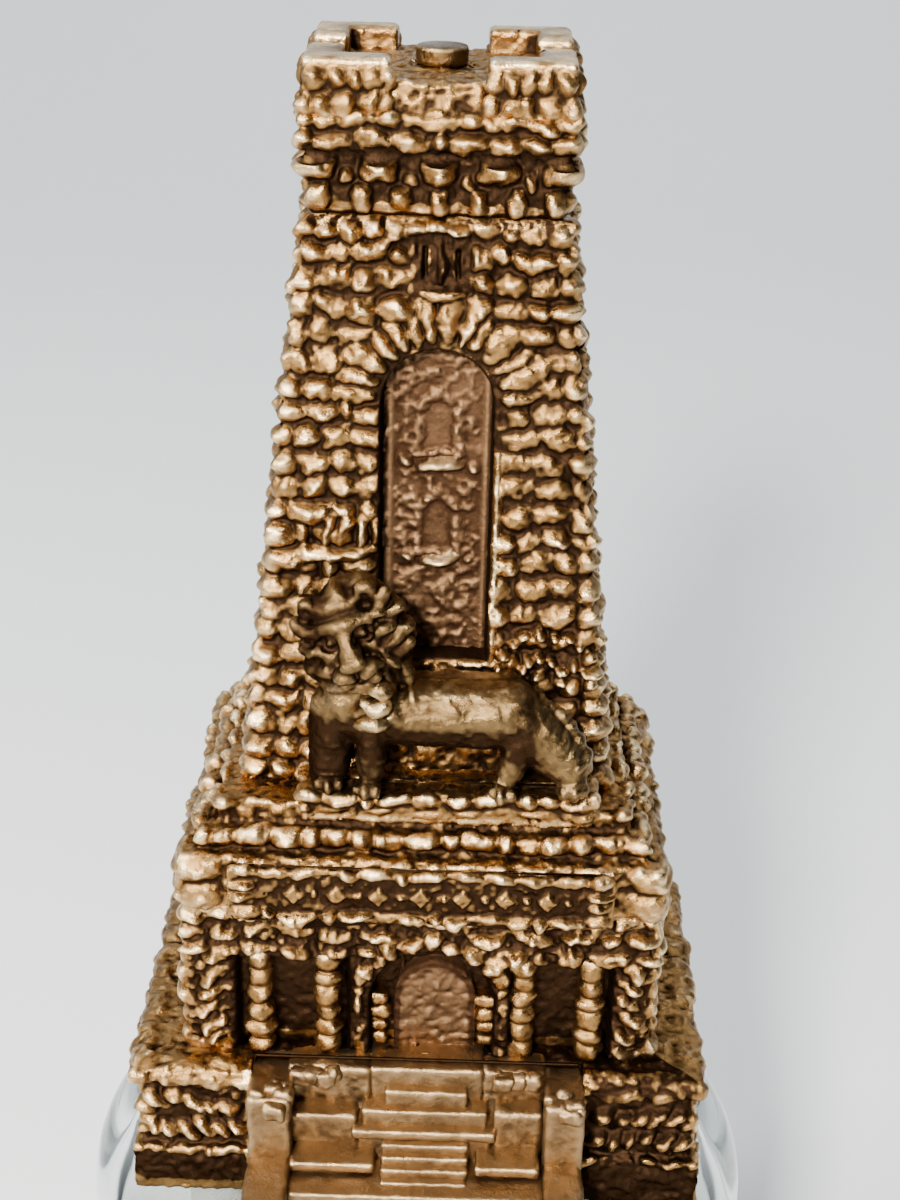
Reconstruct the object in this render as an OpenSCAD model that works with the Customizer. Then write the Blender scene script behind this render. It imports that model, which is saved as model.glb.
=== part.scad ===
// Souvenir bottle opener: a gilt cast tower is the handle, a steel opener blade hangs below its
// plinth, and a clear round stand with a slot holds it upright. +Z is up, the front faces -Y, and
// the origin is the centre of the stand's underside. All lengths are millimetres.

/* [Display stand] */
// Height of the clear stand
stand_h = 40; // [38:1:50]
// Outer radius
stand_r = 25; // [24:0.5:28]
// Thickness of the side wall
stand_wall = 2.4; // [1.6:0.2:3]
// Thickness of the slotted top
stand_top = 3.6; // [3:0.2:4.6]
// Radius of the rounded shoulder
shoulder_r = 3; // [1:0.5:3.5]

/* [Plinth and stairs] */
// Width of the plinth
plinth_w = 42; // [40:1:46]
// Depth of the plinth
plinth_d = 27; // [26:0.5:28]
// Height of the plinth
plinth_h = 11; // [10:0.5:12]
// Number of steps in the wide lower flight
lower_steps = 6; // [4:1:8]
// Number of steps in the middle flight, between its side slabs
middle_steps = 4; // [3:1:5]
// Number of steps in the narrow upper flight
upper_steps = 3; // [2:1:4]

/* [Lower storey] */
// Width of the storey's walls
storey_w = 34; // [32:1:36]
// Height of the storey's walls
storey_h = 12.3; // [12:0.1:13]
// Half width of the portal arch
portal_r = 4.9; // [4:0.1:5]

/* [Tower] */
// Height of the tapering shaft
shaft_h = 40; // [37:1:46]
// Half width of the shaft at its foot
shaft_half = 13; // [12:0.1:13.5]
// Half width of the shaft under the parapet
shaft_top_half = 8.6; // [8:0.1:9]
// Half width of the arched niche
niche_r = 3.9; // [3:0.1:4.2]
// Thickness of the cast walls
cast_wall = 1.6; // [1.2:0.1:1.8]

/* [Opener blade] */
// Thickness of the steel blade
blade_t = 2.5; // [2:0.1:3]
// Width of the blade's ring
blade_w = 37; // [35:0.5:37]
// Length of the blade's ring below the plinth
blade_h = 35; // [34:0.5:36]
// Width of the mouth
mouth_w = 28; // [27:0.5:28]
// Height of the mouth from its lip to its bearing edge
mouth_h = 20; // [19:0.5:21]

/* [Hidden] */
$fn = 64;
gold = [0.72, 0.52, 0.25];
dull_gold = [0.50, 0.34, 0.18];
steel = [0.75, 0.76, 0.78];
clear = [0.85, 0.92, 0.90, 0.35];

// A hair's gap between castings that are soldered or clamped face to face
seam = 0.04;
// Overlap that makes a cut or a union clean
eps = 0.02;

// Plan of the figure: its own front-to-back zero lies this far behind the stand's centre
figure_y = 6;
plinth_front = -15;
plinth_back = plinth_front + plinth_d;
plinth_wall = 2.2;
deck_t = 1.6;

plinth_set_in = 0.5;
plinth_band_h = 3.6;
plinth_coping_h = 1.4;

// Stairs run out from the portal between two cheek walls, in three flights
stair_half = 9;
cheek_half = 12;
stair_top = 10.4;
stair_front = -23.4;
notch_back = -12.6;
threshold_run = 0.8;
upper_half = 4.3;
upper_run = 0.6;
landing_half = 5.8;
landing_z = 7.2;
landing_y = -16.2;
middle_half = 3.2;
slab_z = 4.8;
slab_y = -18.6;
slab_run = 1.2;
side_slab_z = 5.6;
side_slab_y = -18;
terrace_z = 8.6;
terrace_y = -14.8;
shelf_y = -13.9;
cheek_low_z = 5.6;
cheek_low_run = 0.6;
cheek_high_run = 1.2;
stair_wall = 1.8;
stair_deck = 2;

// Lower storey
storey_front = -12.5;
storey_back = 10.5;
storey_z = plinth_h + seam;
storey_top = storey_z + storey_h;
storey_wall = 3;
portal_arch_z = 4.6;
portal_ring = 1.9;
door_depth = 2;
bay_depth = 1.2;
bay_margin = 1.6;
bay_top_in = 3.4;
column_r = 1;
column_x = [7.2, 11.8];
column_sunk = 0.3;

// Ledge slab: a cornice block and two steps, with a low pedestal for the lion
ledge_z = storey_top + seam;
cornice_h = 4.3;
step_h = 1.45;
ledge_top = ledge_z + cornice_h + 2 * step_h;
cornice_front = -12.9;
cornice_back = 11.2;
ledge_in_x = [2, 2.9];
ledge_in_front = [0.9, 1.7];
ledge_in_back = 0.4;
pedestal_h = 1.8;
pedestal_x = [-8.6, 11.8];
pedestal_y = [-11.4, -7.5];
lion_y = -9.9;
peg_x = [-3.4, 8.6];
peg_r = 0.7;
peg_down = 2;
peg_behind = 0.5;
peg_gap = 0.05;

// Tower shaft: a hollow truncated pyramid
shaft_z = ledge_top + seam;
shaft_end = shaft_z + shaft_h;
shaft_front = -7.2;
shaft_top_front = -5.2;
shaft_back = 10.8;
shaft_top_back = 8.8;
split_y = (shaft_front + shaft_back) / 2;
niche_z = shaft_z + 9.8;
niche_arch_z = shaft_z + 27.8;
niche_ring = 3.2;
sill_rise = [6.6, 13.5];
slit_z = shaft_z + 35.8;
slit_x = 0.8;
slit_half = 0.55;
slit_h = 2.6;
slit_depth = 0.9;

// Parapet: two rows of corbels, a double course, and L-shaped corner merlons round a raised deck
parapet_z = shaft_end + seam;
parapet_half = 9;
parapet_front = -5.8;
parapet_back = 9.4;
corbel_row_h = 2;
course_h = 2.3;
roof_z = parapet_z + 2 * corbel_row_h + course_h;
merlon_h = 3.3;
merlon_w = 5.4;
merlon_t = 2.3;
merlon_in = 0.6;
deck_in = 1.4;
deck_rise = 1.9;
deck_z = roof_z + deck_rise;
corbels_wide = 6;
corbels_deep = 5;
corbel_low_in = 0.6;
corbel_low_size = 1.2;
corbel_high_in = 0.2;
corbel_high_size = 1.9;
parapet_core_in = 1.1;

// Tie bolt through the hollow castings, with its round head on the roof
bolt_y = 1.8;
bolt_r = 1.25;
bolt_head_r = 1.7;
bolt_head_h = 1.2;
bore_r = 1.4;
washer_t = 0.5;
washer_r = 3;
nut_h = 2;
nut_across_corners = 5.2;

// Base plate: closes the plinth's hollow, bears on its deck, and holds the blade and the nut
plate_z = 0.3;
plate_t = 2;
plate_gap = 0.1;
boss_r = 4.4;
pocket_r = 3.2;
pocket_h = 3.2;
lug_top = 7.2;
lug_t = 2;
lug_half = 9;
blade_y = -5.2;
fit_gap = 0.1;

// Blade: a ring with a lip in its mouth, and a tang pinned between the plate's lugs
tang_half = 8;
tang_top = 6.6;
blade_top = plate_z - seam;
ring_r = 9;
bar = (blade_w - mouth_w) / 2;
mouth_r = 5;
lip_half = 4.5;
lip_h = 3;
pin_r = 1;
pin_x = 4;
pin_z = 4.6;
slot_gap = 0.5;

// Lion from its own foot: body, mane, muzzle, two forelegs, haunch and near hind leg, each as one
// ball's centre and radius and another's
LION = [[[-2, 0, 5.9], 2.2, [5.4, 0.2, 5.8], 2.3], [[-4.9, -0.2, 11.7], 3.2, [-4.2, -0.2, 6.8], 2.5],
        [[-6, -1.6, 10.8], 1.6, [-6, -1.8, 8.4], 1.2], [[-3.6, -0.9, 6], 1.5, [-3.8, -1, 1.1], 1.1],
        [[-6, 0, 6], 1.4, [-6.3, -0.1, 1.1], 1], [[6.4, 0.1, 5.5], 2.2, [9.8, -0.2, 1.7], 1.6],
        [[6.8, -0.7, 3.8], 1.4, [5.6, -1, 1], 0.9]];

// Places a piece of the figure on the stand
module on_stand() {
    translate([0, figure_y, stand_h + seam]) children();
}

// Box from its lowest to its highest corner
module block(low, high) {
    translate(low) cube(high - low);
}

// Truncated pyramid between two levels, symmetric about X = 0
module frustum(z0, z1, half0, half1, front0, front1, back0, back1) {
    polyhedron(
        points = [[-half0, front0, z0], [half0, front0, z0], [half0, back0, z0], [-half0, back0, z0],
                  [-half1, front1, z1], [half1, front1, z1], [half1, back1, z1], [-half1, back1, z1]],
        faces = [[0, 1, 2, 3], [7, 6, 5, 4], [0, 4, 5, 1], [1, 5, 6, 2], [2, 6, 7, 3], [3, 7, 4, 0]]);
}

// Upright arch-headed outline, extruded along Y from y0 to y1
module arch_prism(half, foot_z, spring_z, y0, y1) {
    translate([0, y1, 0]) rotate([90, 0, 0]) linear_extrude(y1 - y0) union() {
        translate([-half, foot_z]) square([2 * half, spring_z - foot_z]);
        translate([0, spring_z]) circle(r = half);
    }
}

// Ring of wedge stones round an arch's upper half, on a face at depth y
module voussoirs(inner, outer, spring_z, y, proud, count) {
    stone_w = PI * (inner + outer) / 2 / count * 0.8;
    for (i = [0 : count - 1])
        translate([0, y, spring_z]) rotate([0, -180 * (i + 0.5) / count, 0])
            block([inner, -proud, -stone_w / 2], [outer, 0.5, stone_w / 2]);
}

function shaft_share(z) = (z - shaft_z) / shaft_h;
function shaft_half_at(z) = shaft_half + (shaft_top_half - shaft_half) * shaft_share(z);
function shaft_front_at(z) = shaft_front + (shaft_top_front - shaft_front) * shaft_share(z);
function shaft_back_at(z) = shaft_back + (shaft_top_back - shaft_back) * shaft_share(z);

// The shaft's outer form, drawn in by inset on all four sides, from z0 to z1
module shaft_form(inset, z0, z1) {
    frustum(z0, z1, shaft_half_at(z0) - inset, shaft_half_at(z1) - inset,
            shaft_front_at(z0) + inset, shaft_front_at(z1) + inset,
            shaft_back_at(z0) - inset, shaft_back_at(z1) - inset);
}

module shaft_shell() {
    difference() {
        shaft_form(0, shaft_z, shaft_end);
        shaft_form(cast_wall, shaft_z - 1, shaft_end + 1);
    }
}

// Hollow clear drum, open underneath, with a rounded shoulder and a slot for the blade
module display_stand() {
    slot_half = blade_w / 2 + slot_gap;
    slot_y = figure_y + blade_y;
    slot_depth = blade_t + 2 * slot_gap;
    foot_r = 0.6;
    color(clear) difference() {
        rotate_extrude($fn = 96) difference() {
            union() {
                translate([0, foot_r]) square([stand_r, stand_h - shoulder_r - foot_r]);
                square([stand_r - foot_r, stand_h]);
                translate([stand_r - foot_r, foot_r]) circle(r = foot_r, $fn = 24);
                intersection() {
                    translate([stand_r - shoulder_r, stand_h - shoulder_r]) circle(r = shoulder_r);
                    square([stand_r, stand_h]);
                }
            }
            translate([stand_r - shoulder_r, stand_h - shoulder_r]) difference() {
                square(shoulder_r + 1);
                circle(r = shoulder_r);
            }
            translate([-1, -1]) square([stand_r - stand_wall + 1, stand_h - stand_top + 1]);
        }
        block([-slot_half, slot_y - slot_depth / 2, stand_h - stand_top - 1],
              [slot_half, slot_y + slot_depth / 2, stand_h + 1]);
    }
}

// Plate inside the plinth's foot: two lugs grip the tang, and a boss carries the nut's pocket
module base_plate() {
    half = plinth_w / 2 - plinth_wall - plate_gap;
    color(dull_gold) on_stand() difference() {
        union() {
            block([-half, notch_back + plinth_wall + plate_gap, plate_z],
                  [half, plinth_back - plinth_wall - plate_gap, plate_z + plate_t]);
            for (side = [-1, 1]) {
                near = blade_y + side * (blade_t / 2 + fit_gap);
                far = near + side * lug_t;
                block([-lug_half, min(near, far), plate_z], [lug_half, max(near, far), lug_top]);
            }
            translate([0, bolt_y, plate_z])
                cylinder(h = plinth_h - deck_t - seam - plate_z, r = boss_r);
        }
        block([-tang_half - fit_gap, blade_y - blade_t / 2 - fit_gap, plate_z - 1],
              [tang_half + fit_gap, blade_y + blade_t / 2 + fit_gap, lug_top + 1]);
        translate([0, bolt_y, plate_z - 1]) cylinder(h = plinth_h, r = bore_r);
        translate([0, bolt_y, plate_z - 1]) cylinder(h = pocket_h + 1, r = pocket_r);
        for (x = [-pin_x, pin_x])
            translate([x, blade_y - 5, pin_z]) rotate([-90, 0, 0]) cylinder(h = 10, r = pin_r + eps);
    }
}

// Rounded rectangle from its lowest to its highest corner
module rounded_plate(low, high, r) {
    for (x = [low[0] + r, high[0] - r], y = [low[1] + r, high[1] - r])
        translate([x, y]) circle(r = r);
    translate([low[0], low[1] + r]) square([high[0] - low[0], high[1] - low[1] - 2 * r]);
    translate([low[0] + r, low[1]]) square([high[0] - low[0] - 2 * r, high[1] - low[1]]);
}

// Blade outline in X and Z
module blade_outline() {
    low = blade_top - blade_h;
    mouth_low = low + bar;
    mouth_high = mouth_low + mouth_h + lip_h;
    difference() {
        union() {
            rounded_plate([-blade_w / 2, low], [blade_w / 2, blade_top], ring_r);
            translate([-tang_half, blade_top - 1]) square([2 * tang_half, tang_top - blade_top + 1]);
        }
        difference() {
            rounded_plate([-mouth_w / 2, mouth_low], [mouth_w / 2, mouth_high], mouth_r);
            translate([-lip_half, mouth_high - lip_h]) square([2 * lip_half, lip_h + 1]);
        }
        for (x = [-pin_x, pin_x]) translate([x, pin_z]) circle(r = pin_r + eps);
    }
}

module opener_blade() {
    color(steel) on_stand() translate([0, blade_y + blade_t / 2, 0]) rotate([90, 0, 0])
        linear_extrude(blade_t) blade_outline();
}

module blade_pins() {
    reach = blade_t / 2 + fit_gap + lug_t;
    color(steel) on_stand() for (x = [-pin_x, pin_x])
        translate([x, blade_y - reach, pin_z]) rotate([-90, 0, 0]) cylinder(h = 2 * reach, r = pin_r);
}

// Hollow plinth, notched in front for the stairs, with a smooth foot band and a coping
module plinth() {
    half = plinth_w / 2;
    set_in = plinth_set_in;
    color(gold) on_stand() difference() {
        union() {
            block([-half, plinth_front, 0], [half, plinth_back, plinth_band_h]);
            block([set_in - half, plinth_front + set_in, 0],
                  [half - set_in, plinth_back - set_in, plinth_h]);
            block([-half, plinth_front, plinth_h - plinth_coping_h], [half, plinth_back, plinth_h]);
        }
        block([plinth_wall - half, notch_back + plinth_wall, -1],
              [half - plinth_wall, plinth_back - plinth_wall, plinth_h - deck_t]);
        block([-stair_half - seam, plinth_front - 1, -1],
              [stair_half + seam, notch_back, plinth_h + 1]);
        for (side = [-1, 1]) {
            inner = side * (stair_half + plinth_wall);
            outer = side * (half - plinth_wall);
            block([min(inner, outer), plinth_front + plinth_wall, -1],
                  [max(inner, outer), plinth_back - plinth_wall, plinth_h - deck_t]);
        }
        translate([0, bolt_y, 0]) cylinder(h = plinth_h + 1, r = bore_r);
    }
}

// One flight of equal steps between two levels, each step a block from the floor up
module flight(half, y_low, z_low, y_high, z_high, count, back) {
    rise = (z_high - z_low) / count;
    run = (y_high - y_low) / count;
    for (i = [0 : count - 1])
        block([-half, y_low + i * run, 0], [half, back, z_low + (i + 1) * rise]);
}

// Threshold, landing and base slab joined by three flights, with side slabs and cheek walls
module stair_block() {
    back = notch_back - seam;
    color(gold) on_stand() difference() {
        union() {
            flight(stair_half, stair_front, 0, slab_y - slab_run, slab_z, lower_steps, back);
            flight(middle_half, slab_y, slab_z, landing_y, landing_z, middle_steps, back);
            flight(upper_half, landing_y + upper_run, landing_z, back - threshold_run, stair_top,
                   upper_steps, back);
            block([-landing_half, landing_y, 0], [landing_half, back, landing_z]);
            for (side = [-1, 1]) {
                outer_block(side, middle_half - eps, stair_half, side_slab_y, side_slab_z);
                outer_block(side, upper_half - eps, stair_half, terrace_y, terrace_z);
                outer_block(side, upper_half - eps, stair_half, shelf_y, plinth_h - seam);
                outer_block(side, stair_half, cheek_half, stair_front - cheek_low_run, cheek_low_z);
                outer_block(side, stair_half, cheek_half, landing_y - cheek_high_run, plinth_h);
            }
        }
        block([stair_wall - stair_half, slab_y + stair_wall, -1],
              [stair_half - stair_wall, back - stair_wall, landing_z - stair_deck]);
    }
}

// Block on one side of the stairs, from the floor up to z and from y back to the walls behind it
module outer_block(side, inner, outer, y, z) {
    back = inner < stair_half ? notch_back - seam : plinth_front - seam;
    block([min(side * inner, side * outer), y, 0], [max(side * inner, side * outer), back, z]);
}

// Storey walls with an arched portal, a door in it, and two pairs of columns
module lower_storey() {
    half = storey_w / 2;
    bay_top = storey_z + storey_h - bay_top_in;
    color(gold) on_stand() union() {
        difference() {
            block([-half, storey_front, storey_z], [half, storey_back, storey_top]);
            block([storey_wall - half, storey_front + storey_wall, storey_z - 1],
                  [half - storey_wall, storey_back - storey_wall, storey_top + 1]);
            translate([0, 0, storey_z])
                arch_prism(portal_r, -1, portal_arch_z, storey_front - 1, storey_front + door_depth);
            for (side = [-1, 1]) {
                bay_in = side * (column_x[0] - bay_margin);
                bay_out = side * (column_x[1] + bay_margin);
                block([min(bay_in, bay_out), storey_front - 1, storey_z - 1],
                      [max(bay_in, bay_out), storey_front + bay_depth, bay_top]);
            }
        }
        voussoirs(portal_r, portal_r + portal_ring, storey_z + portal_arch_z, storey_front, 0.4, 11);
        for (side = [-1, 1], x = column_x)
            translate([side * x, storey_front + bay_depth - column_sunk, storey_z])
                cylinder(h = bay_top - storey_z + eps, r = column_r, $fn = 24);
    }
}

// Cornice with two set-back ledges and the lion's pedestal, cast as one slab
module ledge_slab() {
    half = storey_w / 2;
    step_z = ledge_z + cornice_h;
    color(gold) on_stand() difference() {
        union() {
            block([-half, cornice_front, ledge_z], [half, cornice_back, step_z]);
            for (i = [0, 1])
                block([ledge_in_x[i] - half, cornice_front + ledge_in_front[i], step_z - eps],
                      [half - ledge_in_x[i], cornice_back - ledge_in_back, step_z + (i + 1) * step_h]);
            block([pedestal_x[0], pedestal_y[0], ledge_top - eps],
                  [pedestal_x[1], pedestal_y[1], ledge_top + pedestal_h]);
        }
        translate([0, bolt_y, ledge_z - 1]) cylinder(h = ledge_top - ledge_z + 2, r = bore_r);
        for (x = peg_x)
            translate([x, lion_y + peg_behind, ledge_top - 1])
                cylinder(h = pedestal_h + 2, r = peg_r + peg_gap);
    }
}

// Blank plaque with a raised border and a row of plain lozenges
module ornament_plaque() {
    half = 13.4;
    plate_t = 0.7;
    plate_front = cornice_front - seam - plate_t;
    border = 0.7;
    border_proud = 0.4;
    low = ledge_z + 0.1;
    high = ledge_z + cornice_h - 0.1;
    lozenges = 7;
    lozenge_pitch = 3.2;
    lozenge = 1.3;
    lozenge_t = 0.8;
    color(gold) on_stand() union() {
        block([-half, plate_front, low], [half, cornice_front - seam, high]);
        for (z = [low, high - border])
            block([-half, plate_front - border_proud, z], [half, plate_front + eps, z + border]);
        for (x = [-half, half - border])
            block([x, plate_front - border_proud, low], [x + border, plate_front + eps, high]);
        for (i = [0 : lozenges - 1])
            translate([(i - (lozenges - 1) / 2) * lozenge_pitch, plate_front, (low + high) / 2])
                rotate([0, 45, 0]) cube([lozenge, lozenge_t, lozenge], center = true);
    }
}

// Blend between two balls
module limb(a, ra, b, rb) {
    hull() {
        translate(a) sphere(r = ra, $fn = 24);
        translate(b) sphere(r = rb, $fn = 24);
    }
}

// Lion at rest on its feet, its maned head at the -X end and turned to the front, held by two pegs
module lion() {
    foot = ledge_top + pedestal_h + seam;
    foot_t = 0.8;
    color(gold) on_stand() translate([0, lion_y, foot]) union() {
        for (part = LION) limb(part[0], part[1], part[2], part[3]);
        block([-7.2, -1.9, 0], [-2.7, 1, foot_t]);
        block([4.8, -1.8, 0], [11.2, 1.2, foot_t]);
        for (x = peg_x)
            translate([x, peg_behind, -peg_down]) cylinder(h = peg_down + foot_t / 2, r = peg_r);
    }
}

// Front half of the shaft, with the arched niche, its ring of wedge stones and a twin slit above
module tower_front() {
    arch_face = shaft_front_at(niche_arch_z);
    niche_floor = shaft_front_at(shaft_end) + cast_wall + 1;
    color(gold) on_stand() difference() {
        union() {
            intersection() {
                shaft_shell();
                block([-20, -20, shaft_z - 1], [20, split_y - seam / 2, shaft_end + 1]);
            }
            voussoirs(niche_r, niche_r + niche_ring, niche_arch_z, arch_face, 0.5, 13);
        }
        arch_prism(niche_r, niche_z, niche_arch_z, -20, niche_floor);
        for (x = [-slit_x, slit_x])
            translate([x, 0, 0])
                arch_prism(slit_half, slit_z, slit_z + slit_h, -20, shaft_front_at(slit_z) + slit_depth);
    }
}

module tower_rear() {
    color(gold) on_stand() intersection() {
        shaft_shell();
        block([-20, split_y + seam / 2, shaft_z - 1], [20, 20, shaft_end + 1]);
    }
}

// Darker panel that closes the niche from inside, with two sills and window frames
module window_panel() {
    half = 5.2;
    panel_t = 1;
    z0 = niche_z - 1.2;
    z1 = niche_arch_z + niche_r + 1.2;
    front_gap = cast_wall + seam;
    back_gap = front_gap + panel_t;
    sill_half = 2;
    sill_h = 0.7;
    sill_proud = 0.7;
    frame_half = 1.7;
    frame_w = 0.6;
    frame_h = 3.8;
    frame_proud = 0.4;
    color(dull_gold) on_stand() union() {
        frustum(z0, z1, half, half, shaft_front_at(z0) + front_gap, shaft_front_at(z1) + front_gap,
                shaft_front_at(z0) + back_gap, shaft_front_at(z1) + back_gap);
        for (rise = sill_rise) {
            z = niche_z + rise;
            front = shaft_front_at(z) + front_gap;
            back = front + panel_t / 2;
            block([-sill_half, front - sill_proud, z], [sill_half, back, z + sill_h]);
            for (x = [-frame_half, frame_half - frame_w])
                block([x, front - frame_proud, z], [x + frame_w, back, z + frame_h]);
            block([-frame_half, front - frame_proud, z + frame_h - frame_w],
                  [frame_half, back, z + frame_h]);
        }
    }
}

// Row of square corbels round all four sides from z0 to z1, set in from the parapet's outline
module corbel_row(z0, z1, set_in, size) {
    half = parapet_half - set_in;
    front = parapet_front + set_in;
    back = parapet_back - set_in;
    pitch_x = 2 * half / corbels_wide;
    pitch_y = (back - front) / corbels_deep;
    for (i = [0 : corbels_wide - 1]) {
        x = -half + (i + 0.5) * pitch_x;
        for (y = [front, back - size])
            block([x - size / 2, y, z0], [x + size / 2, y + size, z1]);
    }
    for (i = [0 : corbels_deep - 1]) {
        y = front + (i + 0.5) * pitch_y;
        for (x = [-half, half - size])
            block([x, y - size / 2, z0], [x + size, y + size / 2, z1]);
    }
}

// L-shaped corner merlon; sx and sy pick the corner
module merlon(sx, sy) {
    corner_x = sx * (parapet_half - merlon_in);
    corner_y = sy < 0 ? parapet_front + merlon_in : parapet_back - merlon_in;
    for (size = [[merlon_w, merlon_t], [merlon_t, merlon_w]]) {
        far_x = corner_x - sx * size[0];
        far_y = corner_y - sy * size[1];
        block([min(corner_x, far_x), min(corner_y, far_y), roof_z - 1],
              [max(corner_x, far_x), max(corner_y, far_y), roof_z + merlon_h]);
    }
}

module parapet() {
    core_in = parapet_core_in;
    low_top = parapet_z + corbel_row_h;
    high_top = low_top + corbel_row_h;
    color(gold) on_stand() difference() {
        union() {
            block([core_in - parapet_half, parapet_front + core_in, parapet_z],
                  [parapet_half - core_in, parapet_back - core_in, roof_z]);
            corbel_row(parapet_z + 0.3, low_top, corbel_low_in, corbel_low_size);
            corbel_row(low_top, high_top + eps, corbel_high_in, corbel_high_size);
            block([-parapet_half, parapet_front, high_top], [parapet_half, parapet_back, roof_z]);
            block([deck_in - parapet_half, parapet_front + deck_in, roof_z - 1],
                  [parapet_half - deck_in, parapet_back - deck_in, deck_z]);
            for (sx = [-1, 1], sy = [-1, 1]) merlon(sx, sy);
        }
        translate([0, bolt_y, parapet_z - 1]) cylinder(h = deck_z - parapet_z + 2, r = bore_r);
    }
}

module tie_bolt() {
    foot = plate_z + seam;
    color(gold) on_stand() translate([0, bolt_y, 0]) union() {
        translate([0, 0, deck_z + seam]) cylinder(h = bolt_head_h, r = bolt_head_r);
        translate([0, 0, foot]) cylinder(h = deck_z + bolt_head_h / 2 - foot, r = bolt_r);
    }
}

module tie_washer() {
    color(steel) on_stand() translate([0, bolt_y, plate_z + pocket_h - washer_t - seam]) difference() {
        cylinder(h = washer_t, r = washer_r);
        translate([0, 0, -1]) cylinder(h = washer_t + 2, r = bore_r);
    }
}

module tie_nut() {
    top = plate_z + pocket_h - washer_t - 2 * seam;
    color(steel) on_stand() translate([0, bolt_y, top - nut_h]) difference() {
        cylinder(h = nut_h, r = nut_across_corners / 2, $fn = 6);
        translate([0, 0, -1]) cylinder(h = nut_h + 2, r = bolt_r + eps);
    }
}

display_stand();
base_plate();
opener_blade();
blade_pins();
plinth();
stair_block();
lower_storey();
ledge_slab();
ornament_plaque();
lion();
tower_front();
tower_rear();
window_panel();
parapet();
tie_bolt();
tie_washer();
tie_nut();
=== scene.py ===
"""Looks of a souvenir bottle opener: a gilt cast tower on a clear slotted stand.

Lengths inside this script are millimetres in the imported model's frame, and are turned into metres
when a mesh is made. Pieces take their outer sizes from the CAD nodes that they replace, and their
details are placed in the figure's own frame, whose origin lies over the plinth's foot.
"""

import math

import bpy
import numpy as np
from mathutils import Matrix, Vector


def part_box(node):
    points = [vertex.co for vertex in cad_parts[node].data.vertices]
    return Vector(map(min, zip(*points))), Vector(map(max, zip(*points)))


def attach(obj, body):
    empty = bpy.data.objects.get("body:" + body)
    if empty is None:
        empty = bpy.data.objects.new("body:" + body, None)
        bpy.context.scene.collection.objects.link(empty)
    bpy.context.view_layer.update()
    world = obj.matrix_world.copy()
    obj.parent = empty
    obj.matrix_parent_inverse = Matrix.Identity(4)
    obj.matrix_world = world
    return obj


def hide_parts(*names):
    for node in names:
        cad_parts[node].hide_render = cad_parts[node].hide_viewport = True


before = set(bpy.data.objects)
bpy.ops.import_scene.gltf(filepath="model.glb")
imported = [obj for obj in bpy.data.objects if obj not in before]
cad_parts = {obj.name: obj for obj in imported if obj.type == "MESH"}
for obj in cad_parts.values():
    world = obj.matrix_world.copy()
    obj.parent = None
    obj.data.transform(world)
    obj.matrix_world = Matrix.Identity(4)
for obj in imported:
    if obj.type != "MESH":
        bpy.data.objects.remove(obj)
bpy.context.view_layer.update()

MM = 0.001
GRID = 0.15  # spacing of the relief's vertices
PAINTED_TOP_LIGHT = 0.07  # how much lighter a level top is painted than an upright face, and an underside darker: painted light from above


def box_mm(node):
    """Lowest and highest corner of a CAD node, in millimetres."""
    low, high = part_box(node)
    return np.array(low) / MM, np.array(high) / MM


# ---------------------------------------------------------------- noise


def fade(t):
    """Eased share from 0 to 1, level at both ends."""
    return t * t * (3 - 2 * t)


def smoothstep(low, high, value):
    """Eased share of the way from low to high; low may be the larger."""
    return fade(np.clip((value - low) / (high - low), 0, 1))


def bell(distance, width):
    """1 where distance is zero, and falling away smoothly on both sides."""
    return np.exp(-(distance / width) ** 2)


def plane_noise(x, y, seed):
    """Smooth noise from -1 to 1, one cell per unit."""
    size = 128
    table = np.random.default_rng(seed).uniform(-1, 1, (size, size))
    cell_x, cell_y = np.floor(x).astype(int), np.floor(y).astype(int)
    share_x, share_y = fade(x - cell_x), fade(y - cell_y)
    low = table[cell_x % size, cell_y % size] * (1 - share_x)
    low = low + table[(cell_x + 1) % size, cell_y % size] * share_x
    high = table[cell_x % size, (cell_y + 1) % size] * (1 - share_x)
    high = high + table[(cell_x + 1) % size, (cell_y + 1) % size] * share_x
    return low * (1 - share_y) + high * share_y


def space_noise(points, cell, seed):
    """Smooth noise from -1 to 1 at points in space, with cells of the given size."""
    x, y, z = (points / cell).T
    layer = np.floor(z)
    share = fade(z - layer)
    shift = 17.3
    low = plane_noise(x + layer * shift, y + layer * shift / 2, seed)
    high = plane_noise(x + (layer + 1) * shift, y + (layer + 1) * shift / 2, seed)
    return low * (1 - share) + high * share


# ---------------------------------------------------------------- meshes


def make_mesh(name, points, faces):
    """Smooth-shaded object from points in millimetres and a list of arrays of equal-sided faces."""
    mesh = bpy.data.meshes.new(name)
    points = np.asarray(points, float) * MM
    loops = np.concatenate([np.asarray(f, int).ravel() for f in faces])
    sizes = np.concatenate([np.full(len(f), len(f[0])) for f in faces])
    mesh.vertices.add(len(points))
    mesh.vertices.foreach_set("co", points.astype(np.float32).ravel())
    mesh.loops.add(len(loops))
    mesh.loops.foreach_set("vertex_index", loops.astype(np.int32))
    mesh.polygons.add(len(sizes))
    mesh.polygons.foreach_set("loop_start", np.concatenate([[0], np.cumsum(sizes)[:-1]]).astype(np.int32))
    mesh.polygons.foreach_set("use_smooth", np.ones(len(sizes), bool))
    mesh.update(calc_edges=True)
    mesh.validate()
    piece = bpy.data.objects.new(name, mesh)
    bpy.context.collection.objects.link(piece)
    return piece


def tube_faces(rows, columns):
    """Quads of a grid of rows by columns that closes on itself along its columns."""
    index = np.arange(rows * columns).reshape(rows, columns)
    following = np.roll(index, -1, axis=1)
    quads = np.stack([index[:-1], following[:-1], following[1:], index[1:]], axis=-1)
    return quads.reshape(-1, 4)


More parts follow.
